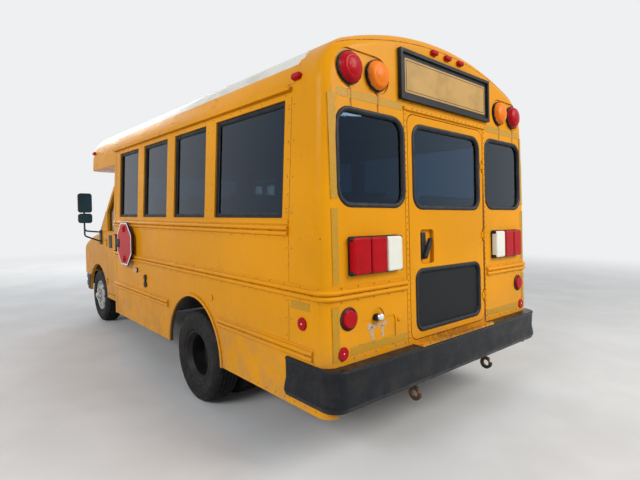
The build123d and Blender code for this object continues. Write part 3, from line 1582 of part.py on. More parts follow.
def rim_profile(side, offset):
    """Half section of a steel wheel whose disc bulges to one side by offset."""
    half = rim_width / 2
    inner = rim_r - seat_gap
    with BuildSketch(mode=Mode.PRIVATE) as outline:
        with BuildLine():
            Polyline(
                (inner, -side * half),
                (inner, side * half),
                (inner - 12, side * half),
                (inner - 30, side * (half - 30)),
                (150, side * (offset - 6)),
                (115, side * (offset + 6)),
                (hub_hole_r, side * (offset + 6)),
                (hub_hole_r, side * (offset - 4)),
                (112, side * (offset - 4)),
                (146, side * (offset - 18)),
                (inner - 38, side * (half - 44)),
                (inner - 38, -side * (half - 40)),
                (inner - 12, -side * half),
                close=True,
            )
        make_face()
    return outline.sketch


def wheel_plane(x, y):
    """Sketch plane whose X is radial (down the bus) and whose Y runs along the axle."""
    return Plane(origin=(x, y, axle_z), x_dir=(0, 1, 0), z_dir=(0, 0, -1))


for name, side in (("left", 1), ("right", -1)):
    front_x = side * front_track / 2
    with BuildPart() as tyre:
        with BuildSketch(wheel_plane(front_x, front_axle_y)):
            add(tyre_profile())
        revolve(axis=Axis((front_x, front_axle_y, axle_z), (1, 0, 0)))
    tyre.part.label = "front_tyre_" + name
    export_step(tyre.part, "parts/front_tyre_" + name + ".step")
    with BuildPart() as rim:
        with BuildSketch(wheel_plane(front_x, front_axle_y)):
            add(rim_profile(side, front_wheel_offset))
        revolve(axis=Axis((front_x, front_axle_y, axle_z), (1, 0, 0)))
        with BuildSketch(Plane.YZ.offset(front_x - 100)):
            with Locations((front_axle_y, axle_z)):
                with PolarLocations(150, 8):
                    Circle(17)
        extrude(amount=200, mode=Mode.SUBTRACT)
        # Hub with the bore for the spindle
        with BuildSketch(Plane.YZ.offset(front_x + side * (front_wheel_offset - 74))):
            with Locations((front_axle_y, axle_z)):
                Circle(hub_hole_r + 4)
        extrude(amount=side * 106)
        with BuildSketch(Plane.YZ.offset(front_x + side * (front_wheel_offset - 75))):
            with Locations((front_axle_y, axle_z)):
                Circle(spindle_r + fit_gap)
        extrude(amount=side * 90, mode=Mode.SUBTRACT)
    rim.part.label = "front_rim_" + name
    export_step(rim.part, "parts/front_rim_" + name + ".step")
    with BuildPart() as tyres:
        for offset in (-1, 1):
            dual_x = side * (rear_track / 2) + offset * dual_spacing / 2
            with BuildSketch(wheel_plane(dual_x, rear_axle_y)):
                add(tyre_profile())
            revolve(axis=Axis((dual_x, rear_axle_y, axle_z), (1, 0, 0)))
    tyres.part.label = "rear_tyres_" + name
    export_step(tyres.part, "parts/rear_tyres_" + name + ".step")
    with BuildPart() as rims:
        for offset in (-1, 1):
            dual_x = side * (rear_track / 2) + offset * dual_spacing / 2
            with BuildSketch(wheel_plane(dual_x, rear_axle_y)):
                add(rim_profile(-offset, rear_wheel_offset))
            revolve(axis=Axis((dual_x, rear_axle_y, axle_z), (1, 0, 0)))
        # Hub through both wheels
        with BuildSketch(Plane.YZ.offset(side * (rear_track / 2 - 30))):
            with Locations((rear_axle_y, axle_z)):
                Circle(75)
        extrude(amount=side * hub_length)
        with BuildSketch(Plane.YZ.offset(side * (rear_track / 2 - 31))):
            with Locations((rear_axle_y, axle_z)):
                Circle(rear_spindle_r + fit_gap)
        extrude(amount=side * (hub_length - 9), mode=Mode.SUBTRACT)
    rims.part.label = "rear_rims_" + name
    export_step(rims.part, "parts/rear_rims_" + name + ".step")
    # Knuckle with its spindle
    knuckle_x = side * kingpin_x
    with BuildPart() as knuckle:
        with BuildSketch(Plane.YZ.offset(knuckle_x - 22)):
            with Locations((front_axle_y, axle_z)):
                Rectangle(90, 2 * arm_rise - arm_thick - 2 * seat_gap)
        extrude(amount=44)
        fillet(knuckle.edges().filter_by(Axis.X), 20)
        with BuildSketch(Plane.XY.offset(axle_z - arm_rise)):
            with Locations((knuckle_x, front_axle_y)):
                Circle(kingpin_r + fit_gap)
        extrude(amount=2 * arm_rise, mode=Mode.SUBTRACT)
        with BuildSketch(Plane.YZ.offset(side * (kingpin_x + 20))):
            with Locations((front_axle_y, axle_z)):
                Circle(44)
        extrude(amount=side * (front_track / 2 + front_wheel_offset - 80 - kingpin_x - 20))
        with BuildSketch(Plane.YZ.offset(side * (kingpin_x + 20))):
            with Locations((front_axle_y, axle_z)):
                Circle(spindle_r)
        extrude(amount=side * (front_track / 2 + front_wheel_offset + 14 - kingpin_x - 20))
    knuckle.part.label = "knuckle_" + name
    export_step(knuckle.part, "parts/knuckle_" + name + ".step")

# Front suspension: cross member and arms
with BuildPart() as front_suspension:
    with Locations((0, front_axle_y, frame_low_z - seat_gap - 55)):
        Box(900, 220, 110)
    for side in (-1, 1):
        arm_end = kingpin_x + 24
        for z, span in ((axle_z + arm_rise, 150), (axle_z - arm_rise, 200)):
            with BuildSketch(Plane.XY.offset(z - arm_thick / 2)):
                with BuildLine():
                    Polyline(
                        (side * 380, front_axle_y - span),
                        (side * arm_end, front_axle_y - 30),
                        (side * arm_end, front_axle_y + 30),
                        (side * 380, front_axle_y + span),
                        close=True,
                    )
                make_face()
            extrude(amount=arm_thick)
        # Kingpin
        with BuildSketch(Plane.XY.offset(axle_z - arm_rise)):
            with Locations((side * kingpin_x, front_axle_y)):
                Circle(kingpin_r)
        extrude(amount=2 * arm_rise)
        # Spring towers down to the lower arms
        with Locations((side * 470, front_axle_y, axle_z + 20)):
            Cylinder(50, 2 * arm_rise)
front_suspension.part.label = "front_suspension"
export_step(front_suspension.part, "parts/front_suspension.step")

# Rear axle with its leaf springs
with BuildPart() as rear_axle:
    axle_end = rear_track / 2 - dual_spacing / 2 - tyre_width / 2 - 6
    with BuildSketch(Plane.YZ.offset(-axle_end)):
        with Locations((rear_axle_y, axle_z)):
            Circle(52)
    extrude(amount=2 * axle_end)
    for side in (-1, 1):
        with BuildSketch(Plane.YZ.offset(side * (axle_end - 1))):
            with Locations((rear_axle_y, axle_z)):
                Circle(rear_spindle_r)
        extrude(amount=side * (rear_track / 2 - 30 + hub_length - 12 - axle_end))
    # Banjo housing round the final drive
    with BuildSketch(Plane.XZ.offset(-(rear_axle_y - 100))):
        with Locations((0, axle_z)):
            Circle(150)
    extrude(amount=-200, taper=18)
    # Pinion nose facing the propeller shaft
    with BuildSketch(Plane(origin=shaft_path @ 1, z_dir=shaft_path % 1).offset(seat_gap)):
        Circle(shaft_r + 10)
    extrude(amount=130)
    for side in (-1, 1):
        with BuildSketch(Plane.YZ.offset(side * 500 - 32)):
            with BuildLine():
                ThreePointArc(
                    (rear_axle_y - 680, 560), (rear_axle_y, axle_z + 56), (rear_axle_y + 680, 560)
                )
                Line((rear_axle_y + 680, 560), (rear_axle_y + 680, 584))
                ThreePointArc(
                    (rear_axle_y + 680, 584), (rear_axle_y, axle_z + 106), (rear_axle_y - 680, 584)
                )
                Line((rear_axle_y - 680, 584), (rear_axle_y - 680, 560))
            make_face()
        extrude(amount=64)
        for y in (rear_axle_y - 660, rear_axle_y + 660):
            with Locations((side * (rail_half + seat_gap + 32), y, 572)):
                Box(64, 50, 50)
        with Locations((side * 500, rear_axle_y, axle_z + 45)):
            Box(90, 130, 40)
rear_axle.part.label = "rear_axle"
export_step(rear_axle.part, "parts/rear_axle.step")

# Engine as one plain block, with its gearbox and propeller shaft
with BuildPart() as driveline:
    with Locations((0, front_axle_y - 120, 800)):
        Box(600, 680, 500)
    with BuildSketch(Plane.XZ.offset(-(front_axle_y + 220))):
        with Locations((0, gearbox_z + 60)):
            Circle(120)
    extrude(amount=-25)
    with BuildSketch(Plane.XZ.offset(-(front_axle_y + 245))):
        with Locations((0, gearbox_z)):
            Circle(95)
    extrude(amount=-gearbox_length)
    with BuildSketch(Plane(origin=shaft_path @ 0, z_dir=shaft_path % 0)):
        Circle(shaft_r)
    extrude(amount=shaft_path.length)
    # Engine mounts on the frame rails
    with Locations((0, front_axle_y - 60, (frame_low_z + frame_high_z) / 2)):
        Box(2 * (rail_half - 8 - seat_gap), 90, 50)
driveline.part.label = "driveline"
export_step(driveline.part, "parts/driveline.step")

# Fuel tank behind the rear axle
with BuildPart() as fuel_tank:
    tank_y = rear_axle_y + 1050
    tank_top_z = 595
    with Locations((0, tank_y, tank_top_z - 125)):
        Box(700, 620, 250)
    fillet(fuel_tank.edges().filter_by(Axis.Y), 50)
    # Hanger straps to the frame rails
    for y in (-200, 200):
        with Locations((0, tank_y + y, tank_top_z + 2)):
            Box(2 * (rail_half - 8 - seat_gap), 50, 6)
fuel_tank.part.label = "fuel_tank"
export_step(fuel_tank.part, "parts/fuel_tank.step")

# Exhaust along the right rail
with BuildPart() as exhaust:
    with BuildSketch(Plane.XZ.offset(-(firewall_y + 60))):
        with Locations((-525, 430)):
            Circle(32)
    extrude(amount=-1900)
    with BuildSketch(Plane.XZ.offset(-(firewall_y + 800))):
        with Locations((-525, 430)):
            Ellipse(85, 70)
    extrude(amount=-600)
    # Hangers on the frame rail
    for y in (firewall_y + 500, firewall_y + 1700):
        with BuildSketch(Plane.XZ.offset(-y)):
            with BuildLine():
                Polyline(
                    (-(rail_half + seat_gap), frame_low_z + 30),
                    (-(rail_half + seat_gap), frame_low_z + 60),
                    (-(rail_half + 20), frame_low_z + 60),
                    (-550, 450),
                    (-505, 440),
                    close=True,
                )
            make_face()
        extrude(amount=-20)
exhaust.part.label = "exhaust"
export_step(exhaust.part, "parts/exhaust.step")

# Passenger seats, facing forward
seat_rows = 4
seat_pitch = 690
last_back_y = rear_y - 440
cushion_z = floor_z + 330
aisle_half = 185
seat_out = half_width - wall - 12
with BuildPart() as passenger_seats:
    for row in range(seat_rows):
        y = last_back_y - row * seat_pitch
        for side in (-1, 1):
            middle = side * (aisle_half + seat_out) / 2
            width = seat_out - aisle_half
            with Locations((middle, y - 210, cushion_z + 60)):
                Box(width, 420, 120)
            with Locations((middle, y + 30, cushion_z + 320)):
                Box(width, 80, 640)
            for y_leg in (y - 350, y - 20):
                with Locations((side * (aisle_half + 60), y_leg, (floor_z + cushion_z + seat_gap) / 2)):
                    Cylinder(16, cushion_z - floor_z - seat_gap)
passenger_seats.part.label = "passenger_seats"
export_step(passenger_seats.part, "parts/passenger_seats.step")

with BuildPart() as driver_seat:
    seat_y = firewall_y + 910
    with Locations((480, seat_y, floor_z + 370)):
        Box(500, 480, 120)
    with Locations((480, seat_y + 250, floor_z + 680)):
        Box(480, 110, 700)
    with Locations((480, seat_y, floor_z + 155)):
        Box(320, 340, 309.4)
driver_seat.part.label = "driver_seat"
export_step(driver_seat.part, "parts/driver_seat.step")

# Dashboard with steering column and wheel
with BuildPart() as dashboard:
    with BuildSketch(Plane.YZ.offset(-850)):
        with BuildLine():
            Polyline(
                (firewall_y + 25 + seat_gap, 900),
                (firewall_y + 25 + seat_gap, cowl_z - 50),
                (firewall_y + 330, cowl_z - 60),
                (firewall_y + 380, cowl_z - 160),
                (firewall_y + 220, 900),
                close=True,
            )
        make_face()
    extrude(amount=1700)
    column = Plane(origin=(480, firewall_y + 330, 1090), z_dir=(0, cos(radians(30)), sin(radians(30))))
    with BuildSketch(column):
        Circle(30)
    extrude(amount=190)
    with BuildSketch(column.offset(170)):
        Circle(195)
        Circle(170, mode=Mode.SUBTRACT)
        Rectangle(352, 40)
        Circle(60)
    extrude(amount=28)
dashboard.part.label = "dashboard"
export_step(dashboard.part, "parts/dashboard.step")
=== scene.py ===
"""Dresses the short school bus: finishes, rivets, seals, lamps, tyres, seats, and the stage it stands on.

Metres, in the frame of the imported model: +Z is up, +Y to the rear, +X the driver's side.
"""

import math
import random

import bmesh
import bpy
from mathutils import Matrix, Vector
from mathutils.bvhtree import BVHTree


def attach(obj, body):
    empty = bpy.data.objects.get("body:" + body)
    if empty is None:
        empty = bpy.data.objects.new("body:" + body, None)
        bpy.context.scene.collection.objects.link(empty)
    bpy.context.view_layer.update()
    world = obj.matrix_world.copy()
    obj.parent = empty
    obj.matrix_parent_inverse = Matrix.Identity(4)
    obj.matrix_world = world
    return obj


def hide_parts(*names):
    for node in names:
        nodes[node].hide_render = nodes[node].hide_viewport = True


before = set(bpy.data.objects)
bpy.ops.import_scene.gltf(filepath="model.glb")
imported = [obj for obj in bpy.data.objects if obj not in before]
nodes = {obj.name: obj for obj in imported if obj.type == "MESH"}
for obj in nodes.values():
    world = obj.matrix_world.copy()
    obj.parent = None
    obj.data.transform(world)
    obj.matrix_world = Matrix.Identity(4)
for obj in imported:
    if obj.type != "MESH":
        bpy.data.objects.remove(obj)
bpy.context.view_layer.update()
scene = bpy.context.scene

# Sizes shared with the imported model
REAR_Y = 2.940
REAR_LEAN = math.radians(2.35)
LEAN_REF_Z = 1.430
HALF_WIDTH = 1.205
BELT_Z = 1.483
TUMBLE = 0.039
SEAM_Y = 2.638
FRONT_SEAM_Y = -0.612
CAP_Y = -1.710
FLOOR_Z = 0.740
CAB_HALF = 1.000
ROOF_WHITE_Z = 2.402
WINDOW_Z = (1.505, 2.200)
WINDOWS = ((-0.478, 0.102), (0.257, 0.837), (0.992, 1.572), (1.727, 2.573))
JAMB_X = 0.488
WHEEL_Z = 0.372
FRONT_AXLE_Y = -2.180
REAR_AXLE_Y = 1.350
FRONT_TYRE_X = 0.874
REAR_TYRE_X = (0.814, 1.082)
FRONT_ARCH = 0.446
REAR_ARCH = 0.520
ARCH_INNER_X = 1.203
LAMP_BOSS = (1.19, 1.62, 1.73)

# Heights of the rivets along the middle rub rail and the belt, and the spans of the rails with their flanges
RAIL_RIVETS_Z = (1.1185, 1.0395)
BELT_RIVETS_Z = 1.3915
RAIL_SPANS = ((1.385, 1.50), (1.033, 1.125), (0.689, 0.779))

# Rear openings: x, half width, low z, high z, corner
QUARTER_WINDOW = (0.796, 0.286, 1.582, 2.118, 0.095)
DOOR_WINDOW = (0.0, 0.405, 1.575, 2.104, 0.080)
DOOR_SCREEN = (0.0, 0.393, 0.768, 1.156, 0.060)

# Lamps and signs
LAMP_Z = 2.351
RED_LAMP_X = 0.975
AMBER_LAMP_X = 0.744
FRONT_LAMP_Z = 2.385
FRONT_RED_X = 0.915
FRONT_AMBER_X = 0.684
TAIL_X = (0.590, 1.020)
TAIL_Z = (1.182, 1.398)
STOP_LAMP = (1.030, 0.940)
SIGN_HALF = 0.545
SIGN_Z = (2.250, 2.566)
FRONT_SIGN_Z = 2.395
STOP_SIGN = (-0.165, 1.222)

X_AXIS = Vector((1, 0, 0))
Y_AXIS = Vector((0, 1, 0))
UP = Vector((0, 0, 1))
BOTH = (-1, 1)
HAND = {-1: "right", 1: "left"}

# Camera where the photograph was taken
CAMERA_PLACE = Vector((2.764, 4.698, 1.520))
CAMERA_YAW = math.radians(-131.175)
CAMERA_PITCH = math.radians(-3.167)
CAMERA_LENS = 24.84

# Colours, linear
YELLOW = (0.676, 0.276, 0.004)
ROOF_WHITE = (0.66, 0.64, 0.57)
BLACK = (0.012, 0.013, 0.015)
RUST = (0.130, 0.040, 0.014)
DUST = (0.245, 0.190, 0.125)
BACKGROUND = (0.86, 0.87, 0.88)


def placed(name, data):
    """Adds an object with this data to the scene."""
    thing = bpy.data.objects.new(name, data)
    scene.collection.objects.link(thing)
    return thing


def aim(thing, place, forward):
    thing.location = place
    thing.rotation_mode = "QUATERNION"
    thing.rotation_quaternion = forward.to_track_quat("-Z", "Y")


def make_camera():
    data = bpy.data.cameras.new("camera")
    data.lens = CAMERA_LENS
    data.sensor_width = 36.0
    data.clip_end = 200.0
    camera = placed("camera", data)
    level = math.cos(CAMERA_PITCH)
    forward = Vector((level * math.cos(CAMERA_YAW), level * math.sin(CAMERA_YAW), math.sin(CAMERA_PITCH)))
    aim(camera, CAMERA_PLACE, forward)
    scene.camera = camera


make_camera()

finish = {}


class Finish:
    """One procedural material, kept in finish. Its methods add nodes and give back their outputs."""

    def __init__(self, name):
        self.material = bpy.data.materials.new(name)
        self.material.use_nodes = True
        self.tree = self.material.node_tree
        self.tree.nodes.clear()
        self.output = self.add("OutputMaterial")
        self.shader = self.add("BsdfPrincipled")
        self.tree.links.new(self.shader.outputs["BSDF"], self.output.inputs["Surface"])
        self.place = self.add("TexCoord").outputs["Object"]
        finish[name] = self.material

    def add(self, kind, **sockets):
        """New node; scale stands for the socket Scale and so on."""
        node = self.tree.nodes.new("ShaderNode" + kind)
        for name, value in sockets.items():
            self.feed(node.inputs[name.replace("_", " ").title()], value)
        return node

    def feed(self, socket, value):
        if isinstance(value, bpy.types.NodeSocket):
            self.tree.links.new(value, socket)
        elif hasattr(value, "__len__") and len(value) == 3 and socket.type == "RGBA":
            socket.default_value = (*value, 1.0)
        else:
            socket.default_value = value

    def set(self, **values):
        """Sets sockets of the main shader; base_color stands for Base Color and so on."""
        for name, value in values.items():
            self.feed(self.shader.inputs[name.replace("_", " ").title().replace("Ior", "IOR")], value)

    def math(self, operation, a, b=0.5, clamp=False):
        node = self.add("Math")
        node.operation = operation
        node.use_clamp = clamp
        self.feed(node.inputs[0], a)
        self.feed(node.inputs[1], b)
        return node.outputs[0]

    def axes(self):
        return self.add("SeparateXYZ", vector=self.place).outputs[:]

    def stretched(self, stretch):
        node = self.add("VectorMath")
        node.operation = "MULTIPLY"
        self.feed(node.inputs[0], self.place)
        node.inputs[1].default_value = stretch
        return node.outputs[0]

    def noise(self, scale, detail=3.0, roughness=0.55, stretch=(1, 1, 1)):
        vector = self.stretched(stretch)
        node = self.add("TexNoise", vector=vector, scale=scale, detail=detail, roughness=roughness)
        return node.outputs["Fac"]

    def patches(self, scale, detail, low, high, roughness=0.55, stretch=(1, 1, 1)):
        """Noise sharpened into soft-edged patches."""
        return self.ramp(self.noise(scale, detail, roughness, stretch), low, high)

    def cells(self, scale, stretch=(1, 1, 1), feature="F1"):
        node = self.add("TexVoronoi", vector=self.stretched(stretch), scale=scale)
        node.feature = feature
        return node.outputs["Distance"]

    def waves(self, scale, direction):
        node = self.add("TexWave", vector=self.place, scale=scale)
        node.bands_direction = direction
        return node.outputs["Fac"]

    def ramp(self, value, low, high, to_low=0.0, to_high=1.0):
        """Smooth step of a value between two limits; the limits may run either way."""
        if low > high:
            low, high, to_low, to_high = high, low, to_high, to_low
        node = self.add("MapRange", value=value, from_min=low, from_max=high, to_min=to_low, to_max=to_high)
        node.interpolation_type = "SMOOTHSTEP"
        return node.outputs["Result"]

    def near(self, value, target, reach):
        """One where a coordinate is at the target, falling to nothing at the reach."""
        return self.ramp(self.math("ABSOLUTE", self.math("SUBTRACT", value, target)), reach, 0.2 * reach)

    def fold(self, operation, first, *values):
        for value in values:
            first = self.math(operation, first, value)
        return first

    def product(self, *values):
        return self.fold("MULTIPLY", *values)

    def largest(self, *values):
        return self.fold("MAXIMUM", *values)

    def mix(self, factor, a, b):
        node = self.add("Mix")
        node.data_type = "RGBA"
        for index, value in ((0, factor), (6, a), (7, b)):
            self.feed(node.inputs[index], value)
        return node.outputs[2]

    def over(self, base, colour, mask, strength):
        """Lays a colour over the base where a mask says, at a strength."""
        return self.mix(self.product(mask, strength), base, colour)

    def crevices(self, distance):
        """One in corners and joints, nothing in the open."""
        node = self.add("AmbientOcclusion", distance=distance)
        node.samples = 4
        return self.ramp(node.outputs["AO"], 0.85, 0.35)

    def bump(self, height, strength, distance, under=None):
        """Normal of a height; under is a finer normal that it lies on."""
        node = self.add("Bump", height=height, strength=strength, distance=distance)
        if under:
            self.feed(node.inputs["Normal"], under)
        return node.outputs["Normal"]


def shade(colour, factor):
    return tuple(min(1.0, channel * factor) for channel in colour)


def yellow_paint(name, colour=YELLOW, roof_from=None, worn=1.0):
    """Bus paint: slight fading, dust low down, rust in the joints and runs of rust below the fittings."""
    f = Finish(name)
    x, y, z = f.axes()
    base = f.mix(f.patches(1.3, 4, 0.35, 0.68), shade(colour, 0.93), shade(colour, 1.05))
    if roof_from:
        white = f.mix(f.patches(4.0, 5, 0.45, 0.75, 0.65), ROOF_WHITE, shade(ROOF_WHITE, 0.80))
        edge = f.math("ADD", z, f.product(f.noise(9.0, 2), 0.006))
        base = f.mix(f.ramp(edge, roof_from, roof_from + 0.004), base, white)
    wash = f.patches(5.0, 4, 0.56, 0.78, 0.6, (5.0, 5.0, 0.5))
    base = f.over(base, shade(colour, 0.72), wash, 0.16 * worn)
    low = f.product(f.ramp(z, 0.95, 0.42), f.patches(6.0, 5, 0.34, 0.66, 0.65))
    base = f.over(base, DUST, low, 0.40 * worn)
    corner = f.product(f.crevices(0.012), f.patches(46.0, 4, 0.50, 0.66, 0.7))
    rust = f.largest(rust_flecks(f, x, z), f.product(lamp_runs(f, x, z), 0.9))
    rust = f.product(rust, f.ramp(y, 2.70, 2.80))
    rust = f.math("MULTIPLY", f.largest(corner, rust), 0.85 * worn, clamp=True)
    base = f.mix(rust, base, RUST)
    gloss = f.ramp(f.noise(7.0, 3), 0.3, 0.7, 0.26, 0.40)
    gloss = f.largest(gloss, f.product(f.largest(rust, low), 0.75))
    peel = f.bump(f.noise(170.0, 2), 0.05, 0.0006)
    f.set(base_color=base, roughness=gloss, specular_ior_level=0.09)
    f.set(normal=f.bump(rust, -0.25, 0.0015, peel))


def lamp_runs(f, x, z):
    """Ragged stains that fall from the rear warning lamps."""
    runs = []
    for side in BOTH:
        for lamp_x, reach in ((RED_LAMP_X, 0.17), (AMBER_LAMP_X, 0.19)):
            fall = f.ramp(z, LAMP_Z - 0.085 - reach, LAMP_Z - 0.10)
            below = f.ramp(z, LAMP_Z - 0.06, LAMP_Z - 0.09)
            ragged = f.math("ADD", x, f.product(f.math("SUBTRACT", f.noise(14.0, 3), 0.5), 0.02))
            runs.append(f.product(f.near(ragged, side * lamp_x, 0.015), fall, below))
    return f.largest(*runs)


def rust_flecks(f, x, z):
    """Specks along the rear door's hinge jamb and sill."""
    jamb = f.product(f.near(x, -0.472, 0.014), f.ramp(z, 2.05, 1.45))
    sill = f.product(f.near(z, 0.700, 0.022), f.near(x, 0.0, 0.56))
    broken = f.patches(30.0, 4, 0.34, 0.50, 0.7, (1.0, 1.0, 0.35))
    return f.product(f.largest(jamb, f.product(sill, 0.8)), broken)


def black_paint(name, colour=BLACK, roughness=(0.34, 0.56), dust=0.35):
    """Satin black steel, scuffed and dusty."""
    f = Finish(name)
    base = f.over(colour, shade(colour, 2.6), f.patches(9.0, 6, 0.52, 0.72, 0.7, (1.0, 1.0, 2.5)), 0.4)
    low = f.product(f.ramp(f.axes()[2], 0.9, 0.35), f.patches(11.0, 5, 0.40, 0.70, 0.6))
    base = f.over(base, shade(DUST, 0.55), low, dust)
    f.set(base_color=base, roughness=f.ramp(f.noise(14.0, 4), 0.3, 0.7, *roughness), specular_ior_level=0.16)
    f.set(normal=f.bump(f.noise(120.0, 3), 0.12, 0.0008))


def chassis_paint(name):
    """Underbody black with road dust and surface rust."""
    f = Finish(name)
    base = f.mix(f.patches(7.0, 6, 0.48, 0.66, 0.7), (0.020, 0.018, 0.016), RUST)
    base = f.over(base, shade(DUST, 0.5), f.patches(3.0, 4, 0.4, 0.7), 0.45)
    f.set(base_color=base, roughness=0.82, normal=f.bump(f.noise(60.0, 5, 0.7), 0.5, 0.002))


def rusty_steel(name):
    f = Finish(name)
    flake = f.noise(38.0, 6, 0.75)
    base = f.mix(f.ramp(flake, 0.35, 0.65), (0.060, 0.022, 0.010), (0.240, 0.085, 0.025))
    f.set(base_color=base, roughness=0.9, normal=f.bump(flake, 0.8, 0.002))


def two_coloured(name, patches, first, second, roughness=0.7, **more):
    """Patches of a second colour over the first, as of rust or glue."""
    f = Finish(name)
    f.set(base_color=f.mix(f.patches(*patches), first, second), roughness=roughness, **more)


def perforated(name):
    """Black sheet with rows of small holes."""
    f = Finish(name)
    holes = f.ramp(f.cells(150.0), 0.22, 0.34)
    f.set(base_color=f.mix(holes, (0.003, 0.003, 0.004), (0.018, 0.020, 0.022)), roughness=0.55)
    f.set(specular_ior_level=0.08, normal=f.bump(holes, 0.6, 0.001))


def bare_metal(name, colour=(0.55, 0.55, 0.54), roughness=(0.22, 0.42)):
    f = Finish(name)
    base = f.over(colour, shade(colour, 0.45), f.patches(24.0, 5, 0.55, 0.75, 0.7), 0.6)
    f.set(base_color=base, metallic=1.0, roughness=f.ramp(f.noise(40.0, 4), 0.3, 0.7, *roughness))


def wheel_paint(name, colour, rust=0.6, dust=0.3):
    """Painted steel wheel with rust blooming round its holes."""
    f = Finish(name)
    bloom = f.patches(26.0, 6, 0.52, 0.68, 0.72)
    base = f.over(colour, RUST, f.largest(f.product(bloom, f.crevices(0.03)), f.product(bloom, 0.25)), rust)
    base = f.over(base, shade(DUST, 0.7), f.patches(6.0, 4, 0.45, 0.7), dust)
    uneven = f.bump(f.noise(90.0, 3), 0.15, 0.001)
    f.set(base_color=base, roughness=0.5, specular_ior_level=0.25, normal=uneven)


def rubber(name, colour, roughness=(0.55, 0.75), dust=0.0):
    """Weathered rubber: greyed on its high places, finely pitted."""
    f = Finish(name)
    base = f.mix(f.patches(18.0, 5, 0.40, 0.70, 0.65), colour, shade(colour, 2.0))
    if dust:
        base = f.over(base, shade(DUST, 0.6), f.patches(8.0, 6, 0.42, 0.66, 0.7), dust)
    f.set(base_color=base, roughness=f.ramp(f.noise(22.0, 3), 0.3, 0.7, *roughness), specular_ior_level=0.2)
    f.set(normal=f.bump(f.noise(400.0, 2), 0.2, 0.0006))


def plastic(name, colour, roughness=0.45, grain=0.25):
    f = Finish(name)
    base = f.mix(f.patches(12.0, 4, 0.4, 0.7), colour, shade(colour, 1.35))
    f.set(base_color=base, roughness=roughness, normal=f.bump(f.noise(300.0, 3), grain, 0.0008))


def lens_plastic(name, colour, deep):
    """Moulded lamp lens: prisms inside, glossy outside."""
    f = Finish(name)
    prisms = f.cells(260.0)
    base = f.over(colour, deep, f.ramp(prisms, 0.15, 0.75), 0.45)
    base = f.over(base, deep, f.patches(14.0, 4, 0.40, 0.70), 0.30)
    f.set(base_color=base, roughness=0.28, specular_ior_level=0.08, coat_weight=0.04, coat_roughness=0.08)
    f.set(normal=f.bump(prisms, 0.18, 0.0008))


def glass(name, colour, sky_reflection_tint=(0.80, 0.90, 1.0)):
    """Window glass with a film of dust. Its blue colour is partly the glass's own tint and partly painted sky
    reflection, and its reflections are tinted blue as a painted sky reflection.
    """
    f = Finish(name)
    f.set(base_color=colour, transmission_weight=1.0, ior=1.45, specular_tint=(*sky_reflection_tint, 1.0))
    f.set(roughness=f.ramp(f.noise(3.0, 5, 0.65), 0.45, 0.75, 0.02, 0.07))


def mirror_glass(name):
    f = Finish(name)
    f.set(base_color=f.mix(f.patches(2.0, 2, 0.35, 0.7), (0.012, 0.040, 0.060), (0.030, 0.075, 0.105)))
    f.set(roughness=f.ramp(f.noise(9.0, 4), 0.4, 0.7, 0.04, 0.12), specular_ior_level=0.6)


def reflective_tape(name, colour):
    """Retro-reflective strip: a fine honeycomb of cells, a little faded."""
    f = Finish(name)
    comb = f.cells(140.0, (1.0, 1.0, 0.8), "DISTANCE_TO_EDGE")
    base = f.mix(f.ramp(comb, 0.02, 0.10), shade(colour, 0.62), colour)
    base = f.over(base, shade(YELLOW, 0.8), f.patches(9.0, 5, 0.45, 0.7), 0.35)
    f.set(base_color=base, roughness=0.45, specular_ior_level=0.2)


def sign_paint(name, colour, wear=0.3):
    f = Finish(name)
    base = f.mix(f.patches(6.0, 5, 0.42, 0.70, 0.65), colour, shade(colour, 0.78))
    base = f.over(base, shade(DUST, 0.5), f.patches(60.0, 4, 0.62, 0.70, 0.7), wear)
    uneven = f.bump(f.noise(40.0, 3), 0.08, 0.001)
    f.set(base_color=base, roughness=0.38, specular_ior_level=0.16, normal=uneven)


def vinyl(name, colour):
    """Seat vinyl with a leather grain and creases."""
    f = Finish(name)
    base = f.over(colour, shade(colour, 1.7), f.patches(7.0, 5, 0.42, 0.72, 0.6), 0.5)
    f.set(base_color=base, roughness=f.ramp(f.noise(9.0, 3), 0.3, 0.7, 0.38, 0.55))
    grain = f.cells(240.0, feature="DISTANCE_TO_EDGE")
    f.set(normal=f.bump(f.ramp(grain, 0.0, 0.25), 0.35, 0.0007))


def woven_cloth(name, colour):
    """Woven seat cloth: two crossed thread patterns."""
    f = Finish(name)
    thread = f.product(f.waves(260.0, "X"), f.waves(260.0, "Z"))
    base = f.mix(f.ramp(thread, 0.1, 0.7), shade(colour, 0.6), shade(colour, 1.25))
    f.set(base_color=base, roughness=0.9, sheen_weight=0.3, normal=f.bump(thread, 0.4, 0.0008))


yellow_paint("body_yellow")
yellow_paint("roof_yellow", roof_from=ROOF_WHITE_Z, worn=0.7)
yellow_paint("door_yellow", shade(YELLOW, 0.985))
yellow_paint("cab_yellow", shade(YELLOW, 0.96))
black_paint("black_paint")
black_paint("bumper_black", (0.0075, 0.0095, 0.013), (0.22, 0.42), 0.14)
chassis_paint("chassis_black")
rusty_steel("rusty_steel")
bare_metal("bare_steel")
bare_metal("chrome", (0.80, 0.80, 0.80), (0.06, 0.16))
wheel_paint("wheel_black", (0.0065, 0.0065, 0.007), 0.18, 0.06)
wheel_paint("wheel_silver", (0.42, 0.42, 0.41), 0.8)
rubber("tyre_rubber", (0.0055, 0.0055, 0.006), dust=0.06)
rubber("seal_rubber", (0.011, 0.012, 0.014), (0.38, 0.60))
rubber("floor_rubber", (0.020, 0.020, 0.021), (0.6, 0.8), 0.4)
# Glass: the blue in the base colours is partly real tint and partly painted sky reflection, and the
# reflection tints are painted sky reflection.
glass("tinted_glass", (0.055, 0.095, 0.14), (0.20, 0.43, 0.78))
glass("dark_glass", (0.11, 0.21, 0.34), (0.30, 0.62, 1.0))
glass("clear_glass", (0.62, 0.72, 0.72))
glass("cab_glass", (0.16, 0.20, 0.22), (0.45, 0.60, 0.72))
mirror_glass("mirror_glass")
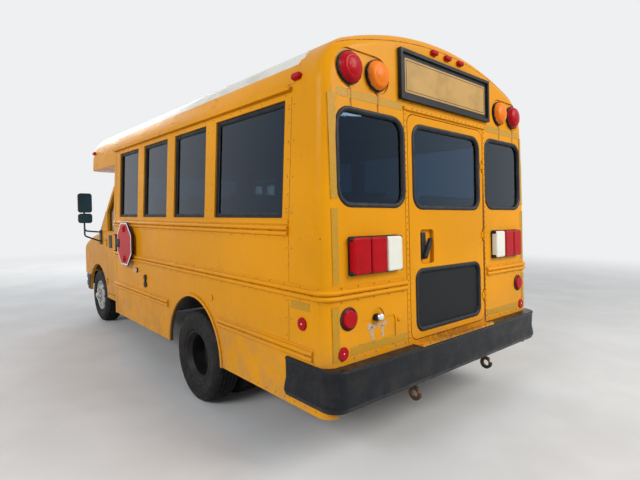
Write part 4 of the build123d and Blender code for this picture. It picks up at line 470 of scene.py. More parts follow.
lens_plastic("red_lens", (0.46, 0.004, 0.009), (0.20, 0.002, 0.005))
lens_plastic("amber_lens", (0.84, 0.215, 0.012), (0.55, 0.10, 0.004))
lens_plastic("clear_lens", (0.76, 0.76, 0.68), (0.58, 0.58, 0.50))
sign_paint("sign_red", (0.46, 0.006, 0.009))
sign_paint("sign_white", (0.72, 0.72, 0.70), 0.4)
sign_paint("sign_tan", (0.46, 0.275, 0.085))
reflective_tape("tape_yellow", (0.50, 0.265, 0.016))
two_coloured("rust_seam", (42.0, 3, 0.44, 0.54, 0.7), shade(YELLOW, 0.62), RUST, 0.8)
two_coloured("rivet_paint", (17.0, 3, 0.34, 0.52, 0.75), shade(YELLOW, 0.72), (0.17, 0.062, 0.014), 0.6)
two_coloured("residue", (34.0, 5, 0.42, 0.58, 0.7), shade(YELLOW, 0.80), (0.40, 0.38, 0.33))
two_coloured(
    "rust_run", (26.0, 5, 0.36, 0.62, 0.7, (1.0, 1.0, 0.4)), (0.150, 0.042, 0.010), (0.40, 0.150, 0.012),
    specular_ior_level=0.2,
)
perforated("perforated_black")
plastic("black_plastic", (0.012, 0.012, 0.013), 0.5)
plastic("dash_plastic", (0.10, 0.10, 0.105), 0.6)
vinyl("bench_vinyl", (0.115, 0.070, 0.026))
woven_cloth("seat_cloth", (0.07, 0.075, 0.085))

# Nodes by their finish
NODE_FINISH = {
    "roof_yellow": "roof front_cap",
    "body_yellow": "side_wall_left side_wall_right rear_wall entry_leaf_front entry_leaf_rear",
    "door_yellow": "rear_door",
    "cab_yellow": "cab_shell hood driver_door",
    "black_paint": "window_frames stop_arm body_fittings",
    "bumper_black": "bumpers",
    "chassis_black": "frame front_suspension rear_axle driveline fuel_tank",
    "rusty_steel": "knuckle_left knuckle_right exhaust",
    "wheel_black": "rear_rims_left rear_rims_right",
    "wheel_silver": "front_rim_left front_rim_right",
    "tyre_rubber": "front_tyre_left front_tyre_right rear_tyres_left rear_tyres_right",
    "floor_rubber": "floor",
    "tinted_glass": "fixed_glass",
    "dark_glass": "rear_door_glass",
    "clear_glass": "entry_glass_front entry_glass_rear",
    "cab_glass": "driver_glass",
    "red_lens": "red_lamps",
    "amber_lens": "amber_lamps",
    "clear_lens": "clear_lamps",
    "black_plastic": "grille mirrors",
    "dash_plastic": "dashboard",
    "bench_vinyl": "passenger_seats",
    "seat_cloth": "driver_seat",
}
for finish_name, node_names in NODE_FINISH.items():
    for node_name in node_names.split():
        node_mesh = nodes[node_name].data
        node_mesh.materials.clear()
        node_mesh.materials.append(finish[finish_name])


def paint_faces(node_name, finish_name, chosen):
    """Gives another finish to the faces of a CAD mesh whose centre is chosen."""
    mesh = nodes[node_name].data
    mesh.materials.append(finish[finish_name])
    for face in mesh.polygons:
        if chosen(face.center):
            face.material_index = len(mesh.materials) - 1


def in_arch(centre):
    reach = math.hypot(centre.y - REAR_AXLE_Y, centre.z - WHEEL_Z)
    return reach < REAR_ARCH and abs(centre.x) < ARCH_INNER_X


def on_lamp_boss(centre):
    low_x, low_y, high_y = LAMP_BOSS
    return centre.x > low_x and low_y < centre.y < high_y


# Faces inside the rear wheel arches take the black chassis finish as painted shade, for the dark the arches
# hold.
paint_faces("side_wall_left", "chassis_black", in_arch)
paint_faces("side_wall_right", "chassis_black", in_arch)
paint_faces("body_fittings", "body_yellow", on_lamp_boss)


def surface(*names):
    """Ray-casting tree of some CAD nodes at rest."""
    points = []
    faces = []
    for name in names:
        mesh = nodes[name].data
        start = len(points)
        points += [vertex.co.copy() for vertex in mesh.vertices]
        faces += [[start + index for index in face.vertices] for face in mesh.polygons]
    return BVHTree.FromPolygons(points, faces)


body_skin = surface("side_wall_left", "side_wall_right", "rear_wall", "roof", "front_cap")
cab_skin = surface("cab_shell", "driver_door", "hood")


def land(skin, start, direction, lift=0.0):
    """Where a ray from start meets a skin, lifted off it, with the outward normal; None if it misses."""
    way = Vector(direction).normalized()
    place, normal, _, _ = skin.ray_cast(Vector(start), way)
    if place is None:
        return None
    if normal.dot(way) > 0:
        normal = -normal
    return place + normal * lift, normal


def on_rear(x, z, lift=0.0):
    """Point and normal of the rear skin at x and z."""
    return land(body_skin, (x, 4.0, z), (0, -1, 0), lift)


def on_side(side, y, z, lift=0.0, skin=body_skin):
    return land(skin, (side * 2.0, y, z), (-side, 0, 0), lift)


def on_plane(plane, place, height=0.0):
    """Point of a plane (origin, across, along, normal), lifted off it."""
    origin, across, along, normal = plane
    return origin + across * place[0] + along * place[1] + normal * height


REAR_NORMAL = Vector((0, math.cos(REAR_LEAN), math.sin(REAR_LEAN)))
REAR_UP = Vector((0, -math.sin(REAR_LEAN), math.cos(REAR_LEAN)))
REAR_PLANE = (Vector((0, REAR_Y, LEAN_REF_Z)), -X_AXIS, REAR_UP, REAR_NORMAL)


def rear_v(z):
    """Distance up the rear plane at a height above the ground."""
    return (z - LEAN_REF_Z) / math.cos(REAR_LEAN)


def rear_spot(x, z, lift=0.0):
    """Point on the rear plane at x and a height above the ground."""
    return on_plane(REAR_PLANE, (-x, rear_v(z)), lift)


def side_plane(side):
    """Plane of the leaning upper side: origin on the belt, along the bus, up the side, outward."""
    lean = math.atan(TUMBLE)
    up = Vector((-side * math.sin(lean), 0, math.cos(lean)))
    out = Vector((side * math.cos(lean), 0, math.sin(lean)))
    return Vector((side * HALF_WIDTH, 0, BELT_Z)), side * Y_AXIS, up, out


def level_plane(origin, across, normal):
    """Upright plane at an origin."""
    return Vector(origin), across, UP, normal


def spread(low, high, pitch):
    """Even positions from low to high at about a pitch."""
    count = max(1, round((high - low) / pitch))
    return [low + (high - low) * i / count for i in range(count + 1)]


def turns(count, start=0.0):
    """Cosine and sine of even steps round a circle."""
    for k in range(count):
        turn = 2 * math.pi * (k + start) / count
        yield math.cos(turn), math.sin(turn)


def rounded(middle, half_width, half_height, corner, steps=6):
    """Points of a rounded rectangle in a plane, each with its outward direction."""
    outline = []
    for quarter, (sx, sy) in enumerate(((1, 1), (-1, 1), (-1, -1), (1, -1))):
        centre = Vector((middle[0] + sx * (half_width - corner), middle[1] + sy * (half_height - corner)))
        for i in range(steps + 1):
            turn = math.pi / 2 * (quarter + i / steps)
            way = Vector((math.cos(turn), math.sin(turn)))
            outline.append((centre + way * corner, way))
    return outline


def rear_outline(x, half_width, low_z, high_z, corner):
    """Rounded rectangle on the rear plane, given by heights above the ground."""
    middle = (-x, rear_v((low_z + high_z) / 2))
    return rounded(middle, half_width, (rear_v(high_z) - rear_v(low_z)) / 2, corner)


def eased(places, share=0.35, steps=5):
    """Polyline with its corners rounded by short quadratic arcs."""
    path = [places[0]]
    for before, here, after in zip(places, places[1:], places[2:]):
        start = here + (before - here) * share
        end = here + (after - here) * share
        for i in range(steps + 1):
            t = i / steps
            path.append(start * (1 - t) ** 2 + here * 2 * t * (1 - t) + end * t ** 2)
    path.append(places[-1])
    return path


class Shape:
    """Collects small forms into one mesh in the shared frame."""

    def __init__(self):
        self.mesh = bmesh.new()

    def skin(self, rings, closed=True, caps=False, around=False):
        """Skins a list of rings of points; around joins the last ring to the first."""
        made = [[self.mesh.verts.new(point) for point in ring] for ring in rings]
        for low, high in zip(made, made[1:] + made[:1] if around else made[1:]):
            for i in range(len(low) if closed else len(low) - 1):
                j = (i + 1) % len(low)
                self.mesh.faces.new((low[i], low[j], high[j], high[i]))
        if caps:
            self.mesh.faces.new(list(reversed(made[0])))
            self.mesh.faces.new(made[-1])
        return made

    def dome(self, place, normal, radius, height, sides=10):
        """Rivet head on a surface."""
        across = normal.orthogonal().normalized()
        along = normal.cross(across)
        rings = []
        for share, rise in ((1.0, -0.15), (0.92, 0.45), (0.55, 0.9)):
            middle = place + normal * height * rise
            rings.append([middle + radius * share * (across * c + along * s) for c, s in turns(sides)])
        rim = self.skin(rings)[-1]
        top = self.mesh.verts.new(place + normal * height)
        for i in range(sides):
            self.mesh.faces.new((rim[i], rim[(i + 1) % sides], top))

    def bar(self, spots, width, thick):
        """Flat strip along landed spots, its edges square to the way it runs; leaves out missed spots."""
        spots = [spot for spot in spots if spot]
        rings = []
        for i, (place, normal) in enumerate(spots):
            before = spots[max(0, i - 1)][0]
            after = spots[min(len(spots) - 1, i + 1)][0]
            side = normal.cross((after - before).normalized()).normalized() * (width / 2)
            rise = normal * thick
            rings.append([place - side, place - side * 0.96 + rise, place + side * 0.96 + rise, place + side])
        self.skin(rings, caps=True)

    def tube(self, places, radius, sides=8):
        """Round tube along a polyline whose corners are eased."""
        path = eased(places)
        across = (path[1] - path[0]).orthogonal().normalized()
        rings = []
        for i, place in enumerate(path):
            way = (path[min(len(path) - 1, i + 1)] - path[max(0, i - 1)]).normalized()
            across = (across - way * across.dot(way)).normalized()
            along = way.cross(across)
            rings.append([place + radius * (across * c + along * s) for c, s in turns(sides)])
        self.skin(rings, caps=True)

    def loop(self, ring, up, radius):
        """Closed thin tube through a ring of points."""
        rings = []
        for i, point in enumerate(ring):
            way = (ring[(i + 1) % len(ring)] - ring[i - 1]).normalized()
            side = way.cross(up).normalized()
            rings.append([point + radius * (side * c + up * s) for c, s in turns(6)])
        self.skin(rings, around=True)

    def lathe(self, profile, place, axis, sides, closed=False, notch=None):
        """Turns (radius, height) pairs about an axis; notch(k, radius, height) may change a pair."""
        way = Vector(axis).normalized()
        across = way.orthogonal().normalized()
        along = way.cross(across)
        rings = []
        for k, (c, s) in enumerate(turns(sides)):
            pairs = [notch(k, *pair) for pair in profile] if notch else profile
            spoke = across * c + along * s
            rings.append([place + spoke * radius + way * height for radius, height in pairs])
        self.skin(rings, closed=closed, around=True)

    def band(self, plane, outline, profile):
        """Sweeps a closed (outward, height) profile round an outline in a plane."""
        rings = []
        for place, out in outline:
            rings.append([on_plane(plane, place + out * outward, height) for outward, height in profile])
        self.skin(rings, around=True)

    def slab(self, plane, outlines, heights):
        """Closed plate with an outline at each height."""
        rings = []
        for outline, height in zip(outlines, heights):
            rings.append([on_plane(plane, place, height) for place in outline])
        self.skin(rings, caps=True)

    def plate(self, plane, half_width, half_height, corner, low, high, bevel=0.002, middle=(0, 0)):
        """Rounded plate with an eased outer edge."""
        outlines = []
        for inset in (0.0, 0.0, bevel):
            outline = rounded(middle, half_width - inset, half_height - inset, max(corner - inset, 0.0005), 5)
            outlines.append([place for place, _ in outline])
        self.slab(plane, outlines, (low, high - bevel, high))

    def block(self, low, high, bevel):
        """Box between two corners with eased edges."""
        low, high = Vector(low), Vector(high)
        made = bmesh.ops.create_cube(self.mesh, size=1.0)["verts"]
        for vertex in made:
            vertex.co = (low + high) / 2 + vertex.co * (high - low)
        edges = list({edge for vertex in made for edge in vertex.link_edges})
        width = min(bevel, min(high - low) * 0.3)
        bmesh.ops.bevel(self.mesh, geom=edges, offset=width, segments=2, affect="EDGES", profile=0.6)

    def done(self, name, finish_name, slot, body="bus", smooth=30):
        """Makes the object and lets it ride on its body."""
        bmesh.ops.recalc_face_normals(self.mesh, faces=self.mesh.faces)
        data = bpy.data.meshes.new(name)
        self.mesh.to_mesh(data)
        self.mesh.free()
        return add_piece(name, data, finish_name, body, smooth)


def add_piece(name, data, finish_name, body="bus", smooth=30):
    thing = placed(name, data)
    data.materials.append(finish[finish_name])
    data.shade_smooth()
    data.set_sharp_from_angle(angle=math.radians(smooth))
    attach(thing, body)
    return thing


GASKET = (
    (-0.015, -0.012), (-0.014, -0.001), (-0.006, 0.006), (0.005, 0.008), (0.013, 0.006), (0.017, -0.001),
)


def rear_gaskets():
    quarters = Shape()
    for side in BOTH:
        quarters.band(REAR_PLANE, rear_outline(side * QUARTER_WINDOW[0], *QUARTER_WINDOW[1:]), GASKET)
    quarters.done("quarter_window_seals", "seal_rubber", "black_plastic", smooth=50)
    door = Shape()
    for opening in (DOOR_WINDOW, DOOR_SCREEN):
        door.band(REAR_PLANE, rear_outline(*opening), GASKET)
    door.done("rear_door_seals", "seal_rubber", "black_plastic", "rear_door", 50)


def rivets(name, finish_name, spots, slot, radius, height):
    """Rivet heads at landed spots; a spot that missed the skin is left out."""
    shape = Shape()
    for spot in spots:
        if spot:
            shape.dome(*spot, radius, height, 7)
    shape.done(name, finish_name, slot, smooth=60)


def wobble(value, reach):
    return value + random.uniform(-reach, reach)


def rear_rivets():
    random.seed(11)
    spots = []
    for side in BOTH:
        spots += [on_rear(side * JAMB_X, z, 0.0035) for z in spread(0.735, 2.165, 0.041)]
        # Along the rub rail's flanges and the bottom edge
        for x in spread(0.545, 1.085, 0.135):
            spots += [on_rear(side * x, z) for z in RAIL_RIVETS_Z]
        spots += [on_rear(side * wobble(x, 0.002), 0.712) for x in spread(0.53, 1.09, 0.094)]
    spots += [on_rear(x, 2.202) for x in spread(-0.480, 0.480, 0.053)]
    for start, z in ((-0.440, 0.700), (-0.410, 0.678)):
        spots += [on_rear(x, z) for x in spread(start, 0.440, 0.060)]
    rivets("rear_rivets", "rivet_paint", spots, "body_yellow", 0.0052, 0.0030)


def jamb_strips():
    """Raised strips beside the rear door."""
    shape = Shape()
    for side in BOTH:
        spots = [(rear_spot(side * JAMB_X, z), REAR_NORMAL) for z in spread(0.705, 2.188, 0.3)]
        shape.bar(spots, 0.024, 0.0035)
    shape.done("rear_door_jambs", "body_yellow", "body_yellow")


def side_rivets():
    random.seed(12)
    spots = []
    for side in BOTH:
        posts = [-0.520]
        for low, high in WINDOWS:
            posts += [low - 0.040, high + 0.040]
        for y in posts:
            spots += [on_side(side, y, z) for z in spread(1.56, 2.14, 0.193)]
        for y in spread(-0.60, 2.90, 0.150):
            for z in (BELT_RIVETS_Z, *RAIL_RIVETS_Z):
                # The stop arm's panel has none
                if side < 0 or not -0.60 < y < 0.20 or z < 1.05:
                    spots.append(on_side(side, wobble(y, 0.003), z))
        for y, pitch in ((SEAM_Y - 0.022, 0.105), (SEAM_Y + 0.026, 0.21)):
            for z in spread(0.50, 2.16, pitch):
                if not any(low - 0.01 < z < high + 0.01 for low, high in RAIL_SPANS):
                    spots.append(on_side(side, y, z))
        spots += [on_side(side, y, 0.430) for y in spread(-0.62, 0.78, 0.100) + spread(1.92, 2.88, 0.096)]
        spots += [on_side(side, y, 2.222) for y in spread(-0.62, 2.58, 0.128)]
    rivets("side_rivets", "rivet_paint", spots, "body_yellow", 0.0046, 0.0024)


def roof_section(y, count=44, lift=0.0):
    """Places and normals along the roof from one drip rail to the other."""
    found = []
    for i in range(count + 1):
        turn = math.radians(-6 + 192 * i / count)
        way = Vector((math.cos(turn), 0, math.sin(turn)))
        spot = land(body_skin, Vector((0, y, 1.95)) + way * 3.0, -way, lift)
        if spot and spot[0].z > 2.262:
            found.append(spot)
    return found


def roof_details():
    """Lapped roof seams with their two lines of rivets."""
    straps = Shape()
    spots = []
    for y in (-0.640, 0.180, 0.915, 1.650, SEAM_Y):
        straps.bar(roof_section(y + 0.001), 0.052, 0.0022)
        for offset in (-0.018, 0.018):
            spots += roof_section(y + offset, 56, 0.002)
    straps.done("roof_seams", "roof_yellow", "roof_paint", smooth=40)
    rivets("roof_rivets", "roof_yellow", spots, "roof_paint", 0.0050, 0.0028)


def rear_cap_seam():
    """Rusty lapped seam that follows the roof line on the rear face."""
    shape = Shape()
    spots = [on_rear(x, 2.652 - 0.152 * x * x, 0.0002) for x in spread(-1.035, 1.035, 0.034)]
    shape.bar(spots, 0.0045, 0.0012)
    shape.done("rear_cap_seam", "rust_seam", "body_yellow", smooth=40)


def side_seams():
    """Dark joint lines between the side panels and the rear corners, broken by the rub rails."""
    shape = Shape()
    for side in BOTH:
        for y in (SEAM_Y, FRONT_SEAM_Y):
            for low, high in ((0.430, 0.684), (0.784, 1.028), (1.130, 1.380), (1.502, 2.205)):
                spots = [on_side(side, y, z, 0.0002) for z in spread(low, high, 0.06)]
                if all(spots):
                    shape.bar(spots, 0.0032, 0.0008)
    shape.done("side_seams", "rust_seam", "body_yellow", smooth=40)


TAPE_THICK = 0.0009


def tapes():
    """Reflective strips round the rear face and at the ends of the sides."""
    shape = Shape()
    lift = 0.0004
    for side in BOTH:
        runs = [([on_side(side, y, 1.005, lift) for y in spread(2.66, 2.83, 0.04)], 0.046)]
        for x, low, high in ((1.118, 1.612, 2.190), (1.118, 1.140, 1.560), (1.128, 0.715, 1.020)):
            runs.append(([on_rear(side * x, z, lift) for z in spread(low, high, 0.08)], 0.050))
        for z, low, high in ((2.205, 0.515, 1.118), (0.752, 0.508, 1.020)):
            runs.append(([on_rear(side * x, z, lift) for x in spread(low, high, 0.06)], 0.050))
        for spots, width in runs:
            shape.bar(spots, width, TAPE_THICK)
    shape.done("reflective_tape", "tape_yellow", "body_yellow", smooth=40)


def warning_lamps():
    """Finish, place and outward direction of each warning lamp, at the rear and over the windshield."""
    for side in BOTH:
        for key, rear_x, front_x in (
            ("red_lens", RED_LAMP_X, FRONT_RED_X), ("amber_lens", AMBER_LAMP_X, FRONT_AMBER_X),
        ):
            yield key, rear_spot(side * rear_x, LAMP_Z), REAR_NORMAL
            yield key, Vector((side * front_x, CAP_Y, FRONT_LAMP_Z)), -Y_AXIS


def notched(k, radius, height):
    """Cuts twelve notches into the rim of a bezel."""
    return radius, height - 0.004 if k % 6 < 2 and height > 0.004 else height


def lamp_bezels():
    """Black rings round the warning lamps and the stop lamps."""
    shape = Shape()
    ring = ((0.0935, -0.002), (0.0935, 0.008), (0.0920, 0.012), (0.0885, 0.013), (0.0870, 0.006))
    for _, place, way in warning_lamps():
        shape.lathe(ring, place, way, 72, notch=notched)
    stop = (
        (0.0665, 0.0), (0.0670, 0.004), (0.0645, 0.008), (0.0590, 0.010), (0.0560, 0.008), (0.0555, 0.003),
    )
    for side in BOTH:
        shape.lathe(stop, rear_spot(side * STOP_LAMP[0], STOP_LAMP[1]), REAR_NORMAL, 40)
    shape.done("lamp_bezels", "seal_rubber", "black_plastic", smooth=40)


def tail_lamp_details():
    """Screw heads at the corners of the tail lamps and over the gaps between their lenses."""
    shape = Shape()
    cell = (TAIL_X[1] - TAIL_X[0]) / 3
    for side in BOTH:
        for k, inward in enumerate((0.004, 0.0, 0.0, -0.004)):
            x = side * (TAIL_X[0] + cell * k + inward)
            for z in (TAIL_Z[0] + 0.012, TAIL_Z[1] - 0.012):
                shape.dome(rear_spot(x, z, 0.032), REAR_NORMAL, 0.0125, 0.009)
                shape.lathe(((0.0125, -0.024), (0.0125, 0.002)), rear_spot(x, z, 0.030), REAR_NORMAL, 10)
    shape.done("tail_lamp_screws", "seal_rubber", "black_plastic", smooth=40)


def signs():
    """Blank panel of the rear sign with its thin border, and the same panel over the windshield."""
    panel = Shape()
    middle = (0, rear_v(sum(SIGN_Z) / 2))
    half_height = (SIGN_Z[1] - SIGN_Z[0]) / 2
    front = level_plane((0, CAP_Y, FRONT_SIGN_Z), X_AXIS, -Y_AXIS)
    for plane, outline in (
        (REAR_PLANE, rounded(middle, SIGN_HALF - 0.052, half_height - 0.050, 0.012)),
        (front, rounded((0, 0), 0.455, 0.070, 0.012)),
    ):
        panel.slab(plane, [[place for place, _ in outline]] * 2, (0.0118, 0.0145))
    panel.done("sign_panels", "sign_tan", "body_yellow")
    border = Shape()
    outline = rounded(middle, SIGN_HALF - 0.066, half_height - 0.064, 0.008)
    strip = ((-0.0018, 0.0140), (-0.0018, 0.0152), (0.0018, 0.0152), (0.0018, 0.0140))
    border.band(REAR_PLANE, outline, strip)
    border.done("sign_border", "seal_rubber", "black_paint")


def stop_sign():
    """White-edged red octagons on both sides of the stop arm, with two lamps a side."""
    y, z = STOP_SIGN
    for name, finish_name, flat, lift in (
        ("stop_sign_border", "sign_white", 0.448, 0.0003), ("stop_sign_face", "sign_red", 0.414, 0.0010),
    ):
        shape = Shape()
        reach = flat / 2 / math.cos(math.pi / 8)
        octagon = [(reach * c, reach * s) for c, s in turns(8, 0.5)]
        for x, out in ((1.259, X_AXIS), (1.249, -X_AXIS)):
            shape.slab(level_plane((x, y, z), Y_AXIS, out), [octagon] * 2, (lift, lift + 0.0012))
        shape.done(name, finish_name, "sign_red", "stop_arm")
    lamps = Shape()
    dome = ((0.036, -0.0005), (0.036, 0.006), (0.030, 0.013), (0.016, 0.017), (0.0, 0.018))
    for x, out in ((1.2605, X_AXIS), (1.2475, -X_AXIS)):
        for rise in (-0.158, 0.158):
            lamps.lathe(dome, Vector((x, y, z + rise)), out, 28)
    lamps.done("stop_arm_lamps", "red_lens", "red_lens", "stop_arm", 50)


def stop_arm_plate():
    """Bolted plate on the arm of the stop sign."""
    plate = Shape()
    plate.block((1.2605, -0.436, 1.176), (1.2635, -0.300, 1.268), 0.001)
    for bolt_z in (1.192, 1.252):
        for bolt_y in (-0.372, -0.318):
            plate.dome(Vector((1.2632, bolt_y, bolt_z)), X_AXIS, 0.006, 0.004)
    plate.done("stop_arm_plate", "black_paint", "black_paint", "stop_arm")


def door_lever():
    """Black handle plate and lever in the pocket of the rear door."""
    shape = Shape()
    shape.plate(REAR_PLANE, 0.025, 0.090, 0.008, -0.024, -0.002, 0.003, (-0.309, rear_v(1.318)))
    lever = ((0.330, 1.252), (0.296, 1.232), (0.232, 1.352), (0.236, 1.372), (0.258, 1.366), (0.296, 1.300))
    middle = Vector((0.280, 1.300))
    rings = []
    for height, drawn_in in ((-0.004, 0.0), (0.012, 0.0), (0.016, 0.024)):
        rings.append([rear_spot(*Vector(place).lerp(middle, drawn_in), height) for place in lever])
    shape.skin(rings, caps=True)
    shape.dome(rear_spot(0.309, 1.255, 0.008), REAR_NORMAL, 0.018, 0.014, 16)
    shape.done("rear_door_lever", "seal_rubber", "black_plastic", "rear_door", 35)


def plate_residue():
    """Scuffed glue where a plate has been."""
    shape = Shape()
    random.seed(7)
    for x0, z0, x1, z1, width in (
        (0.872, 0.868, 0.702, 0.864, 0.030), (0.836, 0.866, 0.826, 0.770, 0.024),
        (0.742, 0.864, 0.738, 0.792, 0.026), (0.826, 0.782, 0.800, 0.772, 0.012),
        (0.850, 0.842, 0.846, 0.812, 0.010),
    ):
        spots = []
        for i in range(9):
            share = i / 8
            spots.append(on_rear(x0 + (x1 - x0) * share, wobble(z0 + (z1 - z0) * share, 0.003), 0.0003))
        shape.bar(spots, width, TAPE_THICK)
    shape.done("plate_residue", "residue", "body_yellow")


def rear_small_parts():
    """Chrome lamp over the plate, the pins of the reflectors, and the button beside the plate."""
    chrome = Shape()
    lamp = ((0.026, 0.0), (0.026, 0.012), (0.020, 0.022), (0.010, 0.027), (0.0, 0.028))
    chrome.lathe(lamp, rear_spot(0.787, 0.918, 0.016), REAR_NORMAL, 28)
    for side in BOTH:
        chrome.dome(rear_spot(side * 1.080, 0.753, 0.0095), REAR_NORMAL, 0.005, 0.003)
        chrome.dome(Vector((side * (HALF_WIDTH + 0.0095), 2.765, 0.904)), side * X_AXIS, 0.005, 0.003)
    chrome.done("chrome_parts", "chrome", "bare_steel", smooth=50)
    button = Shape()
    button.lathe(((0.016, 0.0), (0.016, 0.005), (0.011, 0.009), (0.0, 0.010)), *on_rear(0.588, 0.876), 20)
    button.done("rear_button", "body_yellow", "body_yellow", smooth=50)


def side_window_seals():
    """Rubber round the side panes, inside their frames."""
    shape = Shape()
    profile = ((-0.006, -0.031), (-0.006, -0.020), (0.0, -0.0165), (0.010, -0.0120), (0.012, -0.016))
    half_height = (WINDOW_Z[1] - WINDOW_Z[0]) / 2 - 0.024
    for side in BOTH:
        for low, high in WINDOWS:
            middle = (side * (low + high) / 2, sum(WINDOW_Z) / 2 - BELT_Z)
            outline = rounded(middle, (high - low) / 2 - 0.024, half_height, 0.014)
            shape.band(side_plane(side), outline, profile)
    shape.done("side_window_seals", "seal_rubber", "black_plastic", smooth=50)


# Half of a tyre's section from the bead to the middle: (radius, distance from the middle)
SIDEWALL = (
    (0.2065, 0.0880), (0.2120, 0.0975), (0.2190, 0.1015), (0.2265, 0.1030), (0.2285, 0.1052),
    (0.2360, 0.1056), (0.2385, 0.1038), (0.2620, 0.1085), (0.2860, 0.1110), (0.3000, 0.1108),
    (0.3015, 0.1114), (0.3120, 0.1108), (0.3135, 0.1094), (0.3300, 0.1058), (0.3420, 0.1005),
    (0.3500, 0.0955), (0.3510, 0.0935), (0.3600, 0.0880), (0.3670, 0.0800), (0.3705, 0.0735),
    (0.3712, 0.0700), (0.3714, 0.0540), (0.3620, 0.0530), (0.3620, 0.0470), (0.3717, 0.0460),
    (0.3719, 0.0200), (0.3620, 0.0190), (0.3620, 0.0130), (0.3719, 0.0120),
)


def tread(k, radius, height):
    """Cross cuts in the shoulders and in the middle ribs of a tyre."""
    if radius > 0.3665:
        if abs(height) > 0.047 and k % 3 == 0:
            return radius - 0.007, height
        if 0.016 < abs(height) <= 0.047 and k % 3 == 1:
            return radius - 0.005, height
    return radius, height


def tyres():
    profile = SIDEWALL + tuple((radius, -height) for radius, height in reversed(SIDEWALL))
    for name, body, replaced, places, y in (
        ("front_tyre_skin_", "front_wheel_", "front_tyre_", (FRONT_TYRE_X,), FRONT_AXLE_Y),
        ("rear_tyre_skins_", "rear_wheels_", "rear_tyres_", REAR_TYRE_X, REAR_AXLE_Y),
    ):
        for side in (1, -1):
            shape = Shape()
            for x in places:
                shape.lathe(profile, Vector((side * x, y, WHEEL_Z)), X_AXIS, 120, closed=True, notch=tread)
            tyre = shape.done(name + HAND[side], "tyre_rubber", "tyre_rubber", body + HAND[side], 32)
            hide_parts(replaced + HAND[side])


NUT = (
    (0.0, 0.026), (0.0075, 0.0255), (0.0105, 0.0225), (0.0120, 0.0200), (0.0120, 0.0030), (0.0165, 0.0022),
    (0.0165, -0.002),
)
SMALL_NUT = tuple((radius * 0.62, height * 0.5) for radius, height in NUT)


def nut_circle(shape, nut, middle, radius, way, start=0.0):
    for c, s in turns(8, start):
        shape.lathe(nut, middle + Vector((0, c, s)) * radius, way, 6)


def wheel_details():
    """Lug nuts, hub caps and tyre valves."""
    cap = ((0.0, 0.030), (0.026, 0.028), (0.038, 0.020), (0.041, 0.004), (0.052, 0.002), (0.052, -0.004))
    valve = ((0.0, 0.045), (0.004, 0.044), (0.0045, 0.0))
    disc = ((0.0, 0.006), (0.030, 0.006), (0.033, 0.0), (0.033, -0.003))
    for side, hand in HAND.items():
        way = side * X_AXIS
        front = Shape()
        nut_circle(front, NUT, Vector((side * 0.980, FRONT_AXLE_Y, WHEEL_Z)), 0.0880, way)
        front.lathe(cap, Vector((side * 1.006, FRONT_AXLE_Y, WHEEL_Z)), way, 40)
        front.lathe(valve, Vector((side * 0.955, FRONT_AXLE_Y, WHEEL_Z + 0.176)), way, 10)
        front.done("front_wheel_nuts_" + hand, "bare_steel", "bare_steel", "front_wheel_" + hand)
        rear = Shape()
        hub = Vector((side * 1.0085, REAR_AXLE_Y, WHEEL_Z))
        nut_circle(rear, NUT, Vector((side * 0.9600, REAR_AXLE_Y, WHEEL_Z)), 0.0960, way, 0.5)
        nut_circle(rear, SMALL_NUT, hub, 0.054, way, 0.5)
        rear.lathe(disc, hub, way, 32)
        rear.done("rear_wheel_nuts_" + hand, "wheel_black", "wheel_black", "rear_wheels_" + hand)


def mirror_glasses():
    shape = Shape()
    for side in BOTH:
        for z, height in ((1.690, 0.262), (1.482, 0.130)):
            plane = level_plane((side * 1.205, -1.933, z), -X_AXIS, Y_AXIS)
            shape.plate(plane, 0.0755, height / 2 - 0.0095, 0.024, 0.0002, 0.0024, 0.001)
    shape.done("mirror_glasses", "mirror_glass", "bare_steel")


def door_screen():
    """Perforated sheet over the lower window of the rear door."""
    shape = Shape()
    _, half_width, low, high, _ = DOOR_SCREEN
    half_height = (rear_v(high) - rear_v(low)) / 2 - 0.005
    middle = (0, rear_v((low + high) / 2))
    shape.plate(REAR_PLANE, half_width - 0.005, half_height, 0.055, -0.0132, -0.0118, 0.0005, middle)
    shape.done("rear_door_screen", "perforated_black", "black_paint", "rear_door")


def cab_plate():
    """Black plate on the side of the cab."""
    shape = Shape()
    plane = level_plane((CAB_HALF, -1.545, 1.175), Y_AXIS, X_AXIS)
    shape.plate(plane, 0.052, 0.084, 0.010, 0.0002, 0.010, 0.003)
    shape.done("cab_side_plate", "black_plastic", "black_plastic", "driver_door")


def wipers():
    shape = Shape()
    along = Vector((0, 0.7533, 0.6577))
    out = Vector((0, -0.6577, 0.7533))
    glass_foot = (Vector((0, -2.064, 1.308)), X_AXIS, along, out)
    pivot = ((0.0, 0.014), (0.010, 0.012), (0.013, 0.004), (0.013, -0.012))
    for foot, tip in ((0.60, 0.10), (-0.10, -0.60)):
        root = on_plane(glass_foot, (foot, 0.010), 0.016)
        shape.lathe(pivot, root, out, 16)
        knee = on_plane(glass_foot, ((foot + tip) / 2, 0.115), 0.022)
        shape.tube([root + out * 0.006, knee], 0.0045)
        for height, radius in ((0.007, 0.0028), (0.013, 0.0040)):
            blade = []
            for share in (-0.10, 0.35, 0.8, 1.18):
                place = (foot * (1 - share) + tip * share, 0.075 + 0.055 * share)
                blade.append(on_plane(glass_foot, place, height))
            shape.tube(blade, radius)
    shape.done("wipers", "seal_rubber", "black_plastic", smooth=40)


def ripple(k, radius, height):
    """Faint ribs in a warning lamp's dome."""
    return radius, height + (0.0007 if k % 4 < 2 and 0.03 < radius < 0.082 else 0.0)


